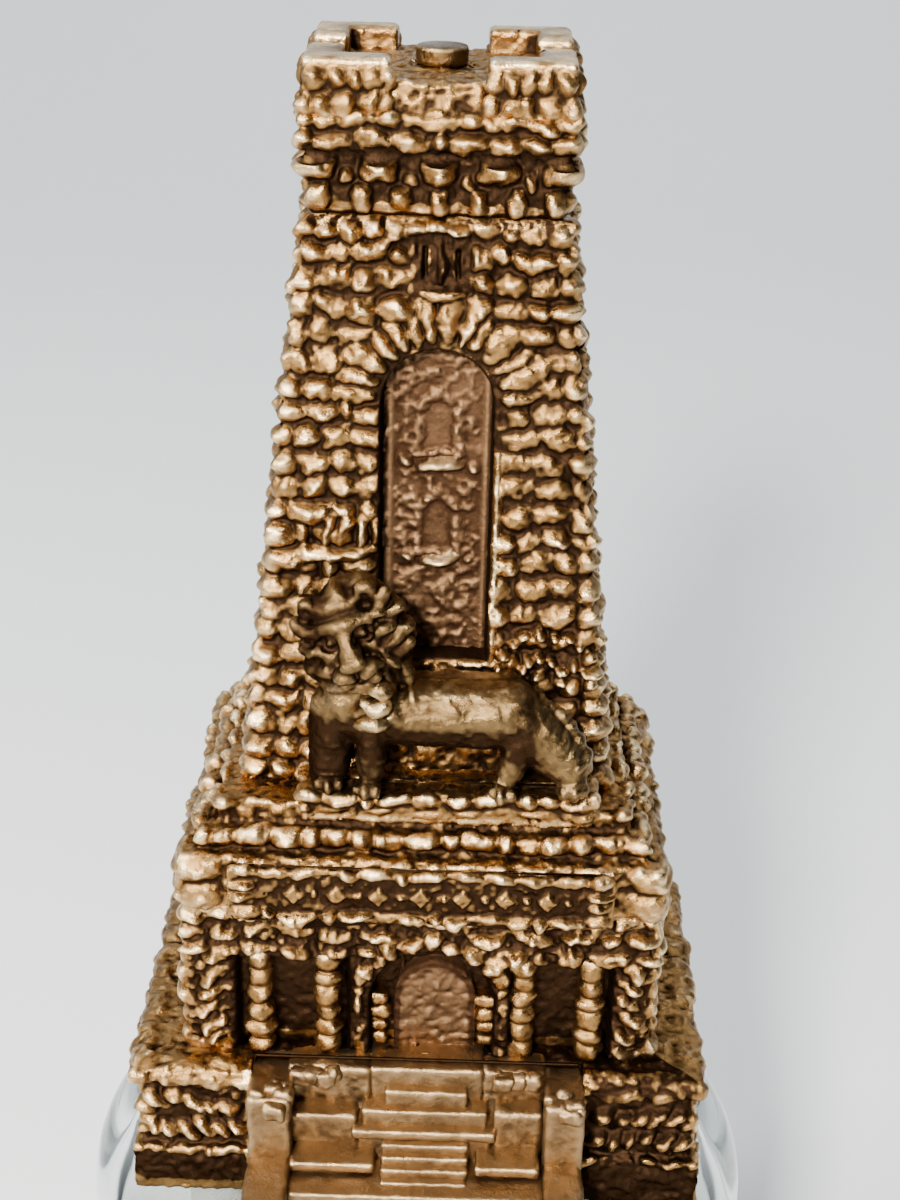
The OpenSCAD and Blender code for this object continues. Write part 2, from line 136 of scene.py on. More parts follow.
def turned_rings(radius, level, sides, x=0.0, y=0.0):
    """Grid of level rings round an upright axis."""
    turn = np.linspace(0, 2 * math.pi, sides, endpoint=False)
    return np.stack([x + radius[:, None] * np.cos(turn), y + radius[:, None] * np.sin(turn),
                     np.repeat(level[:, None], sides, axis=1)], axis=-1)


def roughen_rings(grid, shift):
    """Moves the points of turned rings outward, each by its own amount."""
    turn = np.linspace(0, 2 * math.pi, grid.shape[1], endpoint=False)
    grid[..., 0] += shift * np.cos(turn)
    grid[..., 1] += shift * np.sin(turn)


def closed_tube(name, grid, foot_centre=None, head_centre=None):
    """Closed solid from rings of points, bottom ring first, with a fan over each end."""
    rows, columns, _ = grid.shape
    foot = grid[0].mean(0) if foot_centre is None else np.array(foot_centre)
    head = grid[-1].mean(0) if head_centre is None else np.array(head_centre)
    points = np.vstack([grid.reshape(-1, 3), foot, head])
    ring = np.arange(columns)
    after = np.roll(ring, -1)
    last = (rows - 1) * columns
    foot_fan = np.stack([after, ring, np.full(columns, rows * columns)], axis=-1)
    head_fan = np.stack([ring + last, after + last, np.full(columns, rows * columns + 1)], axis=-1)
    return make_mesh(name, points, [tube_faces(rows, columns), foot_fan, head_fan])


def read_vectors(mesh, key):
    """The vertices' places or normals, one row each."""
    flat = np.empty(len(mesh.vertices) * 3, np.float32)
    mesh.vertices.foreach_get(key, flat)
    return flat.reshape(-1, 3)


def mark_relief(piece, passes=26, depth=None):
    """Stores how far each vertex stands proud of its surroundings (mm) as the attribute "rise".

    Tops are painted lighter and undersides darker, as light from above would leave them. depth is a further
    fall or lift for painted shade, painted highlights and stains.
    """
    mesh = piece.data
    count = len(mesh.vertices)
    points = read_vectors(mesh, "co") / MM
    normals = read_vectors(mesh, "normal")
    ends = np.empty(len(mesh.edges) * 2, np.int32)
    mesh.edges.foreach_get("vertices", ends)
    first, second = ends.reshape(-1, 2).T
    links = np.maximum(np.bincount(ends, minlength=count), 1)
    level = points.astype(float)
    for _ in range(passes):
        total = np.stack([np.bincount(first, level[second, axis], count)
                          + np.bincount(second, level[first, axis], count)
                          for axis in range(3)], axis=-1)
        level = 0.4 * level + 0.6 * total / links[:, None]
    # the normal's upward part paints light on tops and shade on undersides
    rise = np.clip(((points - level) * normals).sum(1), -0.4, 0.3) + PAINTED_TOP_LIGHT * normals[:, 2]
    if depth is not None:
        rise += depth
    layer = mesh.attributes.new("rise", "FLOAT", "POINT")
    layer.data.foreach_set("value", rise.astype(np.float32))


# ---------------------------------------------------------------- reliefs


class Relief:
    """Height field over one face: s runs along the face, v up it, both in millimetres."""

    def __init__(self, s, v, seed):
        self.rows = v
        v_grid = np.repeat(v[:, None], s.shape[1], axis=1)
        self.s, self.v = s.copy(), v_grid.copy()
        for cell, amount in ((4.0, 0.25), (1.2, 0.22), (0.5, 0.09)):
            self.s += amount * plane_noise(s / cell + 5, v_grid / cell, seed)
            self.v += amount * plane_noise(s / cell, v_grid / cell + 9, seed + 1)
        self.plain_s, self.plain_v = s, v_grid
        self.h = np.zeros_like(s)
        # painted light (shade and highlights) and stains, added to the colour's rise
        self.painted_light_and_stain = np.zeros_like(s)
        self.rng = np.random.default_rng(seed)
        self.seed = seed

    def window(self, s, v, half_s, half_v):
        """Part of the grid round a place, a little larger than its half sizes."""
        margin = 0.4
        r0, r1 = np.searchsorted(self.rows, [v - half_v - margin, v + half_v + margin])
        if r1 <= r0:
            return None
        middle = self.plain_s[(r0 + r1) // 2 if (r0 + r1) // 2 < len(self.rows) else -1]
        c0, c1 = np.searchsorted(middle, [s - half_s - margin, s + half_s + margin])
        return np.s_[r0:r1, max(c0 - 2, 0):c1 + 2] if c1 > c0 else None

    def lump(self, s, v, half_s, half_v, height, power=2.2, lean=0.4, turn=0.0):
        """Rough rounded stone, highest near its middle, and tipped by chance."""
        reach = max(half_s, half_v)
        part = self.window(s, v, reach if turn else half_s, reach if turn else half_v)
        if part is None:
            return
        ds, dv = self.s[part] - s, self.v[part] - v
        c, n = math.cos(turn), math.sin(turn)
        ds, dv = (c * ds + n * dv) / half_s, (-n * ds + c * dv) / half_v
        radius = (np.abs(ds) ** power + np.abs(dv) ** power) ** (1 / power)
        tip_s, tip_v = self.rng.uniform(-lean, lean, 2)
        blunt = self.rng.uniform(1.2, 2.2)
        dome = height * np.clip(1 - radius ** blunt, 0, 1) ** 0.8 * (1 + tip_s * ds + tip_v * dv)
        self.h[part] = np.maximum(self.h[part], dome)

    def course(self, v, rise, length, height, skip=None, fill=1.08, low=None, high=None, power=2.2):
        """Row of stones of differing lengths, whose end stones wrap round the corners."""
        row = min(np.searchsorted(self.rows, v), len(self.rows) - 1)
        low = self.plain_s[row, 0] - 0.8 if low is None else low
        high = self.plain_s[row, -1] + 0.8 if high is None else high
        count = max(int(round((high - low) / length)), 1)
        cuts = np.linspace(low, high, count + 1)
        cuts[1:-1] += self.rng.uniform(-0.32, 0.32, count - 1) * length
        for start, end in zip(cuts[:-1], cuts[1:]):
            middle = (start + end) / 2
            tall = height * self.rng.uniform(0.45, 1.25)
            drift = self.rng.uniform(-0.12, 0.12) * rise
            if skip is not None and skip(middle, v):
                continue
            self.lump(middle, v + drift, (end - start) / 2 * fill * 1.06,
                      rise / 2 * fill * self.rng.uniform(0.82, 1.0), tall, power,
                      turn=self.rng.uniform(-0.16, 0.16))

    def courses(self, low, high, rise, length, height, skip=None):
        """Stack of stone rows from low to high."""
        count = max(int(round((high - low) / rise)), 1)
        step = (high - low) / count
        for i in range(count):
            self.course(low + (i + 0.5) * step, step, length, height, skip)

    def arch(self, centre, half, foot, spring):
        """Distance outside an arch-headed outline, negative inside it."""
        ds = self.plain_s - centre
        below = np.maximum(np.abs(ds) - half, foot - self.plain_v)
        above = np.hypot(ds, self.plain_v - spring) - half
        return np.where(self.plain_v > spring, above, below)

    def blend_to(self, distance, level, soft=0.22):
        """Brings the surface to a level wherever distance is negative; a deep one gets painted shade round
        its rim.
        """
        share = smoothstep(0, -soft, distance)
        self.h = self.h * (1 - share) + level * share
        if level < -0.5:
            self.painted_light_and_stain -= 0.42 * bell(distance, 0.4)

    def wedges(self, centre, spring, inner, outer, count, height, spread=math.pi):
        """Ring of wedge stones over an arch."""
        ds, dv = self.s - centre, self.v - spring
        radius, angle = np.hypot(ds, dv), np.arctan2(ds, dv)
        cuts = np.linspace(-spread / 2, spread / 2, count + 1)
        cuts[1:-1] += self.rng.uniform(-0.22, 0.22, count - 1) * spread / count
        for start, end in zip(cuts[:-1], cuts[1:]):
            out = outer + self.rng.uniform(-0.9, 0.4)
            across = (angle - (start + end) / 2) / ((end - start) * 0.54)
            along = (radius - (inner + out) / 2) / ((out - inner) / 2)
            inside = np.clip(1 - np.abs(across) ** 2 - np.abs(along) ** 2.6, 0, 1)
            dome = height * self.rng.uniform(0.7, 1.2) * inside ** 0.6 * (1 - 0.2 * along)
            self.h = np.where(inside > 0, np.maximum(self.h, dome), self.h)

    def grain(self, amount):
        """Crumbly unevenness of a worn casting, in four sizes."""
        for cell, share in ((2.6, 0.5), (1.1, 0.7), (0.55, 0.95), (0.33, 0.75)):
            place = (self.plain_s / cell + 3 * share, self.plain_v / cell)
            self.h += amount * share * plane_noise(*place, self.seed + int(100 * cell))


FACES = [((0, -1), (1, 0)), ((1, 0), (0, 1)), ((0, 1), (-1, 0)), ((-1, 0), (0, -1))]
FRONT, RIGHT, BACK, LEFT = range(4)


class Block:
    """Four-sided block of reliefs round a vertical profile.

    walls is one row per level: half width, front, back, z, and the profile normal's outward and
    upward parts. Each of the four faces is a Relief, and faces meet on rounded corners.
    """

    def __init__(self, walls, corner, seed, centre_x=0.0, grid=GRID):
        self.walls = np.asarray(walls, float)
        half, front, back, z = self.walls[:, :4].T
        steps = np.hypot(np.diff(z), np.diff(front))
        self.v = np.concatenate([[0], np.cumsum(steps)])
        self.corner, self.centre_x = corner, centre_x
        self.reliefs, self.places = [], []
        for side in range(4):
            wide = side in (FRONT, BACK)
            reach = half if wide else (back - front) / 2
            count = int(max(reach.max() * 2 / grid, 8))
            share = np.linspace(-1, 1, count)
            flat = np.maximum(reach - corner, 0.05)
            length = flat + corner * math.pi / 4
            s = share[None, :] * length[:, None]
            bend = np.clip((np.abs(s) - flat[:, None]) / corner, 0, math.pi / 4)
            along = np.sign(s) * (np.minimum(np.abs(s), flat[:, None]) + corner * np.sin(bend))
            inset = corner * (1 - np.cos(bend))
            self.reliefs.append(Relief(s, self.v, seed + 20 * side))
            self.places.append((along, inset, bend, np.sign(s)))

    def face_points(self, side):
        """Grid of points in space for one face, with its relief."""
        half, front, back, z, out, up = self.walls.T
        normal, tangent = FACES[side]
        along, inset, bend, sign = self.places[side]
        height = self.reliefs[side].h
        distance = {FRONT: -front, RIGHT: half, BACK: back, LEFT: half}[side]
        middle = 0 if side in (FRONT, BACK) else (front + back) / 2
        across = distance[:, None] - inset
        n_x = normal[0] * np.cos(bend) + tangent[0] * sign * np.sin(bend)
        n_y = normal[1] * np.cos(bend) + tangent[1] * sign * np.sin(bend)
        x = normal[0] * across + tangent[0] * along + height * out[:, None] * n_x + self.centre_x
        y = normal[1] * across + tangent[1] * along + height * out[:, None] * n_y
        if side in (RIGHT, LEFT):
            y = y + middle[:, None]
        return np.stack([x, y, z[:, None] + height * up[:, None]], axis=-1)

    def join_corners(self):
        """Gives neighbouring faces the same height where they meet."""
        for side in range(4):
            here, after = self.reliefs[side].h, self.reliefs[(side + 1) % 4].h
            shared = np.maximum(here[:, -1], after[:, 0])
            here[:, -1] = after[:, 0] = shared

    def falls(self, parts):
        """Painted shade on deep floors, paler high stones (wear and painted highlight), and the painted
        light and stains, by vertex and then for the cap centres.
        """
        fields = [0.16 * np.clip(self.reliefs[side].h, -1.5, 0)
                  + 0.11 * np.clip(self.reliefs[side].h, 0, 1.3) - 0.03 + self.reliefs[side].painted_light_and_stain
                  for side, _ in parts]
        rows = np.concatenate([field[part] for field, (_, part) in zip(fields, parts)], axis=1)
        return np.concatenate([rows.ravel(), [0, 0]])

    def build(self, name, passes=26):
        """Whole block as one closed mesh."""
        self.join_corners()
        grid = np.concatenate([self.face_points(side)[:, :-1] for side in range(4)], axis=1)
        piece = closed_tube(name, grid)
        mark_relief(piece, passes, self.falls([(side, np.s_[:, :-1]) for side in range(4)]))
        return piece

    def build_half(self, name, front_half, seam):
        """Half of the block, in front of or behind the middle of its side faces.

        Each call darkens both seams once more, so the half that is built last has the darker ones.
        """
        self.join_corners()
        middle = {side: self.reliefs[side].h.shape[1] // 2 for side in (RIGHT, LEFT)}
        first, whole, last = (LEFT, FRONT, RIGHT) if front_half else (RIGHT, BACK, LEFT)
        parts = [(first, np.s_[:, middle[first]:-1]), (whole, np.s_[:, :-1]),
                 (last, np.s_[:, :middle[last]])]
        grid = np.concatenate([self.face_points(side)[part] for side, part in parts], axis=1)
        for column in (0, -1):
            grid[:, column, 1] = seam
        for side, at in middle.items():
            self.reliefs[side].painted_light_and_stain[:, at - 3:at + 3] -= 0.35
        piece = closed_tube(name, grid)
        mark_relief(piece, 26, self.falls(parts))
        return piece


def wall_rows(half, front, back, z0, z1, half_top=None, front_top=None, back_top=None, grid=GRID):
    """Levels of a plain or tapering wall."""
    count = max(int((z1 - z0) / grid), 3)
    share = np.linspace(0, 1, count)
    half_top = half if half_top is None else half_top
    front_top = front if front_top is None else front_top
    back_top = back if back_top is None else back_top
    ones = np.ones(count)
    return np.stack([half + (half_top - half) * share, front + (front_top - front) * share,
                     back + (back_top - back) * share, z0 + (z1 - z0) * share, ones, 0 * ones], axis=-1)


def profile_rows(half, front, back, outline, grid=GRID, rounding=0.25):
    """Levels that follow an outline of (inset, z) points, with softened corners."""
    outline = np.array(outline, float)
    lengths = np.concatenate([[0], np.cumsum(np.hypot(*np.diff(outline, axis=0).T))])
    count = int(lengths[-1] / grid)
    at = np.linspace(0, lengths[-1], count)
    inset, z = np.interp(at, lengths, outline[:, 0]), np.interp(at, lengths, outline[:, 1])
    width = max(int(rounding / grid * 2), 1)
    kernel = np.ones(2 * width + 1) / (2 * width + 1)
    soft = [np.convolve(np.pad(a, width, mode="edge"), kernel, mode="valid") for a in (inset, z)]
    soft[0][[0, -1]], soft[1][[0, -1]] = inset[[0, -1]], z[[0, -1]]
    slope_in, slope_up = np.gradient(soft[0]), np.gradient(soft[1])
    size = np.maximum(np.hypot(slope_in, slope_up), 1e-9)
    return np.stack([half - soft[0], front + soft[0], back - soft[0], soft[1],
                     slope_up / size, slope_in / size], axis=-1)


def soft_box(name, low, high, radius, roughness, seed, spacing=0.2):
    """Closed box with rounded edges and an uneven cast surface."""
    low, high = np.array(low, float), np.array(high, float)
    size, centre = high - low, (low + high) / 2
    counts = np.maximum((size / spacing).astype(int), 3)
    lookup, points, faces = {}, [], []

    def vertex(key):
        if key not in lookup:
            lookup[key] = len(points)
            points.append([-1 + 2 * k / n for k, n in zip(key, counts)])
        return lookup[key]

    for axis in range(3):
        a, b = (axis + 1) % 3, (axis + 2) % 3
        for end in (0, counts[axis]):
            for i in range(counts[a]):
                for j in range(counts[b]):
                    quad = []
                    for di, dj in ((0, 0), (1, 0), (1, 1), (0, 1)):
                        key = [0, 0, 0]
                        key[axis], key[a], key[b] = end, i + di, j + dj
                        quad.append(vertex(tuple(key)))
                    faces.append(quad if end else quad[::-1])
    points = np.array(points) * size / 2
    core = np.maximum(size / 2 - radius, 0.01)
    inner = np.clip(points, -core, core)
    away = points - inner
    length = np.linalg.norm(away, axis=1, keepdims=True)
    direction = away / np.maximum(length, 1e-9)
    reach = np.minimum(np.abs(away).max(1, keepdims=True), radius)
    points = inner + direction * reach + centre
    shift = space_noise(points, 0.9, seed) * 0.7 + space_noise(points, 0.35, seed + 1) * 0.3
    points = points + direction * shift[:, None] * roughness
    return make_mesh(name, points, [np.array(faces)])


def select(*pieces):
    """Selects pieces for an operator, the first of them active."""
    bpy.ops.object.select_all(action="DESELECT")
    for piece in pieces:
        piece.select_set(True)
    bpy.context.view_layer.objects.active = pieces[0]


def join(name, pieces):
    """One object from several, keeping their attributes."""
    select(*pieces)
    bpy.ops.object.join()
    pieces[0].name = pieces[0].data.name = name
    return pieces[0]


# ---------------------------------------------------------------- materials


def new_material(name):
    """Material, its node tree and its main shader."""
    material = bpy.data.materials.new(name)
    material.use_nodes = True
    tree = material.node_tree
    return material, tree, tree.nodes["Principled BSDF"]


def node(tree, kind, **values):
    """New shader node with some of its settings."""
    made = tree.nodes.new(kind)
    for key, value in values.items():
        setattr(made, key, value)
    return made


def noise(tree, scale, detail=4.0, rough=0.55):
    """Noise in the object's own coordinates, in cells per metre."""
    place = node(tree, "ShaderNodeTexCoord")
    made = node(tree, "ShaderNodeTexNoise")
    made.inputs["Scale"].default_value = scale
    made.inputs["Detail"].default_value = detail
    made.inputs["Roughness"].default_value = rough
    tree.links.new(place.outputs["Object"], made.inputs["Vector"])
    return made.outputs["Fac"]


def span(tree, value, low, high, to_low=0.0, to_high=1.0):
    """Maps one range of a value onto another."""
    made = node(tree, "ShaderNodeMapRange")
    tree.links.new(value, made.inputs["Value"])
    for key, number in (("From Min", low), ("From Max", high), ("To Min", to_low), ("To Max", to_high)):
        made.inputs[key].default_value = number
    return made.outputs["Result"]


def math_node(tree, operation, a, b):
    """Clamped sum or product of sockets or numbers."""
    made = node(tree, "ShaderNodeMath", operation=operation, use_clamp=True)
    for socket, value in zip(made.inputs, (a, b)):
        if isinstance(value, (int, float)):
            socket.default_value = value
        else:
            tree.links.new(value, socket)
    return made.outputs[0]


def mix_colour(tree, share, first, second):
    """Blend of two colours, each a tuple or a socket."""
    made = node(tree, "ShaderNodeMix", data_type="RGBA")
    tree.links.new(share, made.inputs["Factor"])
    for socket, value in ((made.inputs["A"], first), (made.inputs["B"], second)):
        if isinstance(value, tuple):
            socket.default_value = (*value, 1)
        else:
            tree.links.new(value, socket)
    return made.outputs["Result"]


def bump(tree, shader, height, distance, strength):
    """Fine surface unevenness, with its depth in metres."""
    made = node(tree, "ShaderNodeBump")
    made.inputs["Distance"].default_value = distance
    made.inputs["Strength"].default_value = strength
    tree.links.new(height, made.inputs["Height"])
    tree.links.new(made.outputs["Normal"], shader.inputs["Normal"])


def gilt(name, body, deep, pale, rough=0.34, tarnish=0.5, hollow=(0.05, -0.11)):
    """Gilt casting: pale crests of worn gilt and painted highlight, golden flanks, and dark brown of patina
    in the hollows and of painted shade.
    """
    material, tree, shader = new_material(name)
    rise = node(tree, "ShaderNodeAttribute", attribute_name="rise").outputs["Fac"]
    blotch = span(tree, noise(tree, 230, 5), 0.40, 0.66)
    speck = span(tree, noise(tree, 1700, 3), 0.48, 0.72)
    # dark where rise is low: patina in the hollows, and painted shade carried by the rise attribute
    sunk = span(tree, rise, *hollow)
    dirt_and_shade = math_node(tree, "ADD", sunk, math_node(tree, "MULTIPLY", blotch, tarnish * 0.5))
    dirt_and_shade = math_node(tree, "ADD", dirt_and_shade, math_node(tree, "MULTIPLY", speck, tarnish * 0.35))
    # pale crests, partly worn gilt and partly painted highlight
    worn = math_node(tree, "MULTIPLY", span(tree, rise, 0.13, 0.36),
                     span(tree, noise(tree, 600, 3), 0.32, 0.64))
    colour = mix_colour(tree, dirt_and_shade, body, deep)
    colour = mix_colour(tree, worn, colour, pale)
    tree.links.new(colour, shader.inputs["Base Color"])
    tree.links.new(mix_colour(tree, dirt_and_shade, (1, 1, 1), deep), shader.inputs["Specular Tint"])
    shader.inputs["Metallic"].default_value = 1.0
    shine = math_node(tree, "ADD", span(tree, dirt_and_shade, 0, 1, rough, rough + 0.25),
                      span(tree, noise(tree, 900, 4), 0.3, 0.8, -0.06, 0.1))
    tree.links.new(shine, shader.inputs["Roughness"])
    bump(tree, shader, noise(tree, 3200, 6, 0.65), 0.00012, 0.75)
    return material


def plated_steel(name):
    """Nickel plate with a fine brushed grain along X and faint handling marks."""
    material, tree, shader = new_material(name)
    place = node(tree, "ShaderNodeTexCoord")
    stretch = node(tree, "ShaderNodeMapping")
    stretch.inputs["Scale"].default_value = (120, 4000, 4000)
    tree.links.new(place.outputs["Object"], stretch.inputs["Vector"])
    grain = node(tree, "ShaderNodeTexNoise")
    grain.inputs["Scale"].default_value = 1.0
    grain.inputs["Detail"].default_value = 3
    tree.links.new(stretch.outputs["Vector"], grain.inputs["Vector"])
    smudge = span(tree, noise(tree, 180, 4), 0.4, 0.7)
    colour = mix_colour(tree, smudge, (0.64, 0.64, 0.63), (0.51, 0.50, 0.48))
    tree.links.new(colour, shader.inputs["Base Color"])
    shader.inputs["Metallic"].default_value = 1.0
    tree.links.new(span(tree, grain.outputs["Fac"], 0.2, 0.8, 0.18, 0.36), shader.inputs["Roughness"])
    bump(tree, shader, grain.outputs["Fac"], 0.00002, 0.5)
    return material


def clear_stand(name):
    """Clear moulded stand: faint green tint, with slight waviness and finger haze."""
    material, tree, shader = new_material(name)
    shader.inputs["Transmission Weight"].default_value = 1.0
    shader.inputs["IOR"].default_value = 1.49
    haze = span(tree, noise(tree, 120, 4), 0.45, 0.75)
    tree.links.new(span(tree, haze, 0, 1, 0.02, 0.12), shader.inputs["Roughness"])
    colour = mix_colour(tree, haze, (0.86, 0.90, 0.885), (0.80, 0.85, 0.83))
    tree.links.new(colour, shader.inputs["Base Color"])
    bump(tree, shader, noise(tree, 90, 2), 0.0002, 0.25)
    return material


def paint(piece, material):
    """Gives a piece one material."""
    piece.data.materials.clear()
    piece.data.materials.append(material)


# GOLD is the gilt's body; DEEP the brown of patina and of painted shade; PALE the rubbed gold of crests and
# of painted highlights
GOLD = (0.31, 0.168, 0.055)
DEEP = (0.025, 0.0125, 0.006)
PALE = (0.95, 0.70, 0.37)
gilt_stone = gilt("gilt_stone", GOLD, DEEP, PALE, 0.24)
gilt_smooth = gilt("gilt_smooth", (0.29, 0.19, 0.095), (0.045, 0.026, 0.013), PALE, 0.32, 0.5)
gilt_lion = gilt("gilt_lion", (0.17, 0.105, 0.042), DEEP, PALE, 0.25, 0.7, (0.04, -0.16))
matte_gilt = gilt("matte_gilt", (0.18, 0.10, 0.05), (0.045, 0.021, 0.01), PALE, 0.42, 0.6)
steel = plated_steel("nickel_steel")
clear = clear_stand("clear_plastic")


def place(piece, body, slot, *nodes):
    """Hangs a finished piece on its body in place of the CAD nodes that it stands for."""
    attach(piece, body)
    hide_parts(*nodes)


# ---------------------------------------------------------------- figure's frame

PLINTH_REACH = 15.0  # from the figure's own origin to the plinth's front
plinth_low = box_mm("plinth")[0]
ORIGIN = np.array([0.0, plinth_low[1] + PLINTH_REACH, plinth_low[2]])


def figure_box(name):
    """A CAD node's box from the figure's own origin, which is over the plinth's foot."""
    low, high = box_mm(name)
    return low - ORIGIN, high - ORIGIN


def settle(piece):
    """Moves a mesh made in the figure's own frame to its place in the model."""
    piece.data.transform(Matrix.Translation(Vector(ORIGIN * MM)))


def finish_piece(piece, material, slot, node_name):
    """Settles, paints and places one piece of the figure."""
    settle(piece)
    paint(piece, material)
    place(piece, "opener", slot, node_name)


# ---------------------------------------------------------------- tower shaft


NICHE_X = 0.3
ROW_RISE, STONE_LENGTH = 1.74, 1.95  # the shaft's stone rows
NICHE_HALF, NICHE_FOOT, NICHE_SPRING = 3.75, 40.4, 58.4  # heights are the figure's


def make_tower():
    """Tapering shaft of rough stone rows, with the arched niche and a twin slit in its front."""
    low, high = figure_box("tower_front")
    rear_high = figure_box("tower_rear")[1]
    sunk = 0.3
    half, top_half = high[0] - sunk, 8.6 - sunk
    front, back = -7.2 + sunk, rear_high[1] - sunk
    block = Block(wall_rows(half, front, back, low[2], high[2], top_half, front + 2, back - 2), 0.7, 100)
    base = low[2]
    niche_foot, spring = NICHE_FOOT - base, NICHE_SPRING - base
    face = block.reliefs[FRONT]
    wall_top = high[2] - base - 1.5

    def near_niche(s, v):
        if v > spring:
            return math.hypot(s - NICHE_X, v - spring) < 6.4
        return abs(s - NICHE_X) < NICHE_HALF + 0.2 and v > niche_foot - 6

    face.courses(0.2, wall_top, ROW_RISE, STONE_LENGTH, 0.78, near_niche)
    face.wedges(NICHE_X, spring, NICHE_HALF + 0.35, 7.2, 14, 0.8)
    face.course(wall_top + 0.75, 1.5, 1.7, 0.8)
    panel = np.maximum(np.abs(face.plain_s - 1.2) - 4.2, np.abs(face.plain_v - 2.2) - 2.4)
    face.blend_to(panel, 0.1, 0.5)
    rim = face.arch(NICHE_X, NICHE_HALF, niche_foot, spring)
    right_edge = smoothstep(1.0, 3.0, face.plain_s - NICHE_X) * (face.plain_v < spring - 3)
    ridge = 0.5 * right_edge * bell(rim - 0.3, 0.24)
    face.h = np.maximum(face.h, ridge)
    add_slits(face, 66.4 - base)
    add_lion_ground(face, base)
    for side in (RIGHT, BACK, LEFT):
        block.reliefs[side].courses(0.2, wall_top, ROW_RISE, STONE_LENGTH, 0.76)
        block.reliefs[side].course(wall_top + 0.75, 1.5, 1.7, 0.8)
    for relief in block.reliefs:
        relief.grain(0.13)
        # painted shade at the top of the shaft, where it runs in under the parapet
        relief.painted_light_and_stain -= 0.3 * smoothstep(wall_top + 1.1, wall_top + 1.4, relief.plain_v)
    # painted shade, the front darker towards its right
    face.painted_light_and_stain -= 0.05 * smoothstep(1.0, 7.0, face.plain_s)
    face.blend_to(rim, -2.1, 0.3)
    # painted highlight along the ridge on the right of the niche
    face.painted_light_and_stain += 0.5 * right_edge * bell(rim - 0.3, 0.3)
    seam = (front + back) / 2
    for name, is_front, gap in (("tower_front", True, -0.02), ("tower_rear", False, 0.02)):
        piece = block.build_half("shaft_" + name, is_front, seam + gap)
        finish_piece(piece, gilt_stone, "gilt", name)


def add_slits(face, foot):
    """Twin slit window under a drooping hood."""
    for at in (-0.45, 1.15):
        slit = face.arch(at, 0.45, foot, foot + 2.3)
        clear_wall = smoothstep(1.0, 0.5, slit)
        face.h = face.h * (1 - clear_wall)
        face.blend_to(slit, -0.7, 0.15)
    face.lump(0.35, foot - 0.55, 1.7, 0.5, 0.8)
    face.lump(0.35, foot + 1.2, 0.3, 1.3, 0.6)
    hood = ((-3.3, 2.5, 0.5), (-2.3, 3.2, 0.35), (-1.1, 3.6, 0.15), (0.3, 3.7, 0.0), (1.5, 3.5, -0.1))
    for s, v, turn in hood:
        face.lump(s, foot + v, 0.85, 0.48, 0.95, turn=turn)


def add_lion_ground(face, base):
    """Drapery and a ridge over the lion's head, boulders behind it, and beaded arcs to its right."""
    for i in range(4):
        face.lump(-6.6 + 0.95 * i, 49.7 - base, 0.5, 1.35, 1.15, turn=0.1 * (i - 2))
    face.lump(-6.2, 48.2 - base, 3.4, 0.6, 1.25, lean=0.1, turn=0.06)
    face.lump(-9.6, 47.6 - base, 1.6, 0.8, 0.8)
    for centre, level, radius, count, spread in ((7.6, 39.6, 1.35, 7, 220), (10.1, 39.4, 1.0, 5, 200),
                                                 (8.1, 39.6, 3.2, 10, 170)):
        for i in range(count):
            angle = math.radians(spread * (i / (count - 1) - 0.5))
            face.lump(centre + radius * math.sin(angle), level - base + radius * math.cos(angle),
                      0.52, 0.46, 1.15, power=2.1, turn=-angle)
    face.lump(7.6, 39.5 - base, 0.5, 0.5, 1.0)


def make_window_panel():
    """Rough dull panel at the back of the niche, with two framed windows and bright sills."""
    low, high = figure_box("window_panel")
    foot, top = low[2], high[2] - 0.4
    lean = (high[2] - low[2]) / 20
    front = low[1] + 0.55
    rows = wall_rows(4.4, front, front + 1.2, foot, top, 4.4, front + lean, front + lean + 1.2, grid=0.11)
    block = Block(rows, 0.2, 300, centre_x=NICHE_X, grid=0.11)
    face = block.reliefs[FRONT]
    for i in range(18):
        face.course(2.0 + 1.25 * i, 1.25, 1.9, 0.16)
    face.grain(0.15)
    for sill in (54.0, 47.1):
        level = sill - foot
        ring = face.arch(0.1, 1.25, level + 0.6, level + 3.2)
        face.h += 0.2 * bell(ring - 0.1, 0.35) * (face.plain_v > level + 0.3)
        face.h -= 0.22 * smoothstep(-0.2, -0.5, ring)
        face.lump(0.1, level, 1.6, 0.55, 1.15, power=2.6, lean=0.15)
        # painted highlight on the sill
        face.painted_light_and_stain += 0.25 * (np.hypot((face.s - 0.3) / 1.4, (face.v - level - 0.1) / 0.45) < 1)
        face.lump(-2.2, level + 0.2, 0.6, 0.4, 0.7)
        face.lump(2.3, level - 0.1, 0.5, 0.4, 0.5)
    for edge in (-3.1, 3.3):
        face.h = np.maximum(face.h, 0.22 * bell(face.plain_s - edge, 0.3))
    piece = block.build("niche_panel", 18)
    finish_piece(piece, matte_gilt, "dark_gilt", "window_panel")


# ---------------------------------------------------------------- parapet


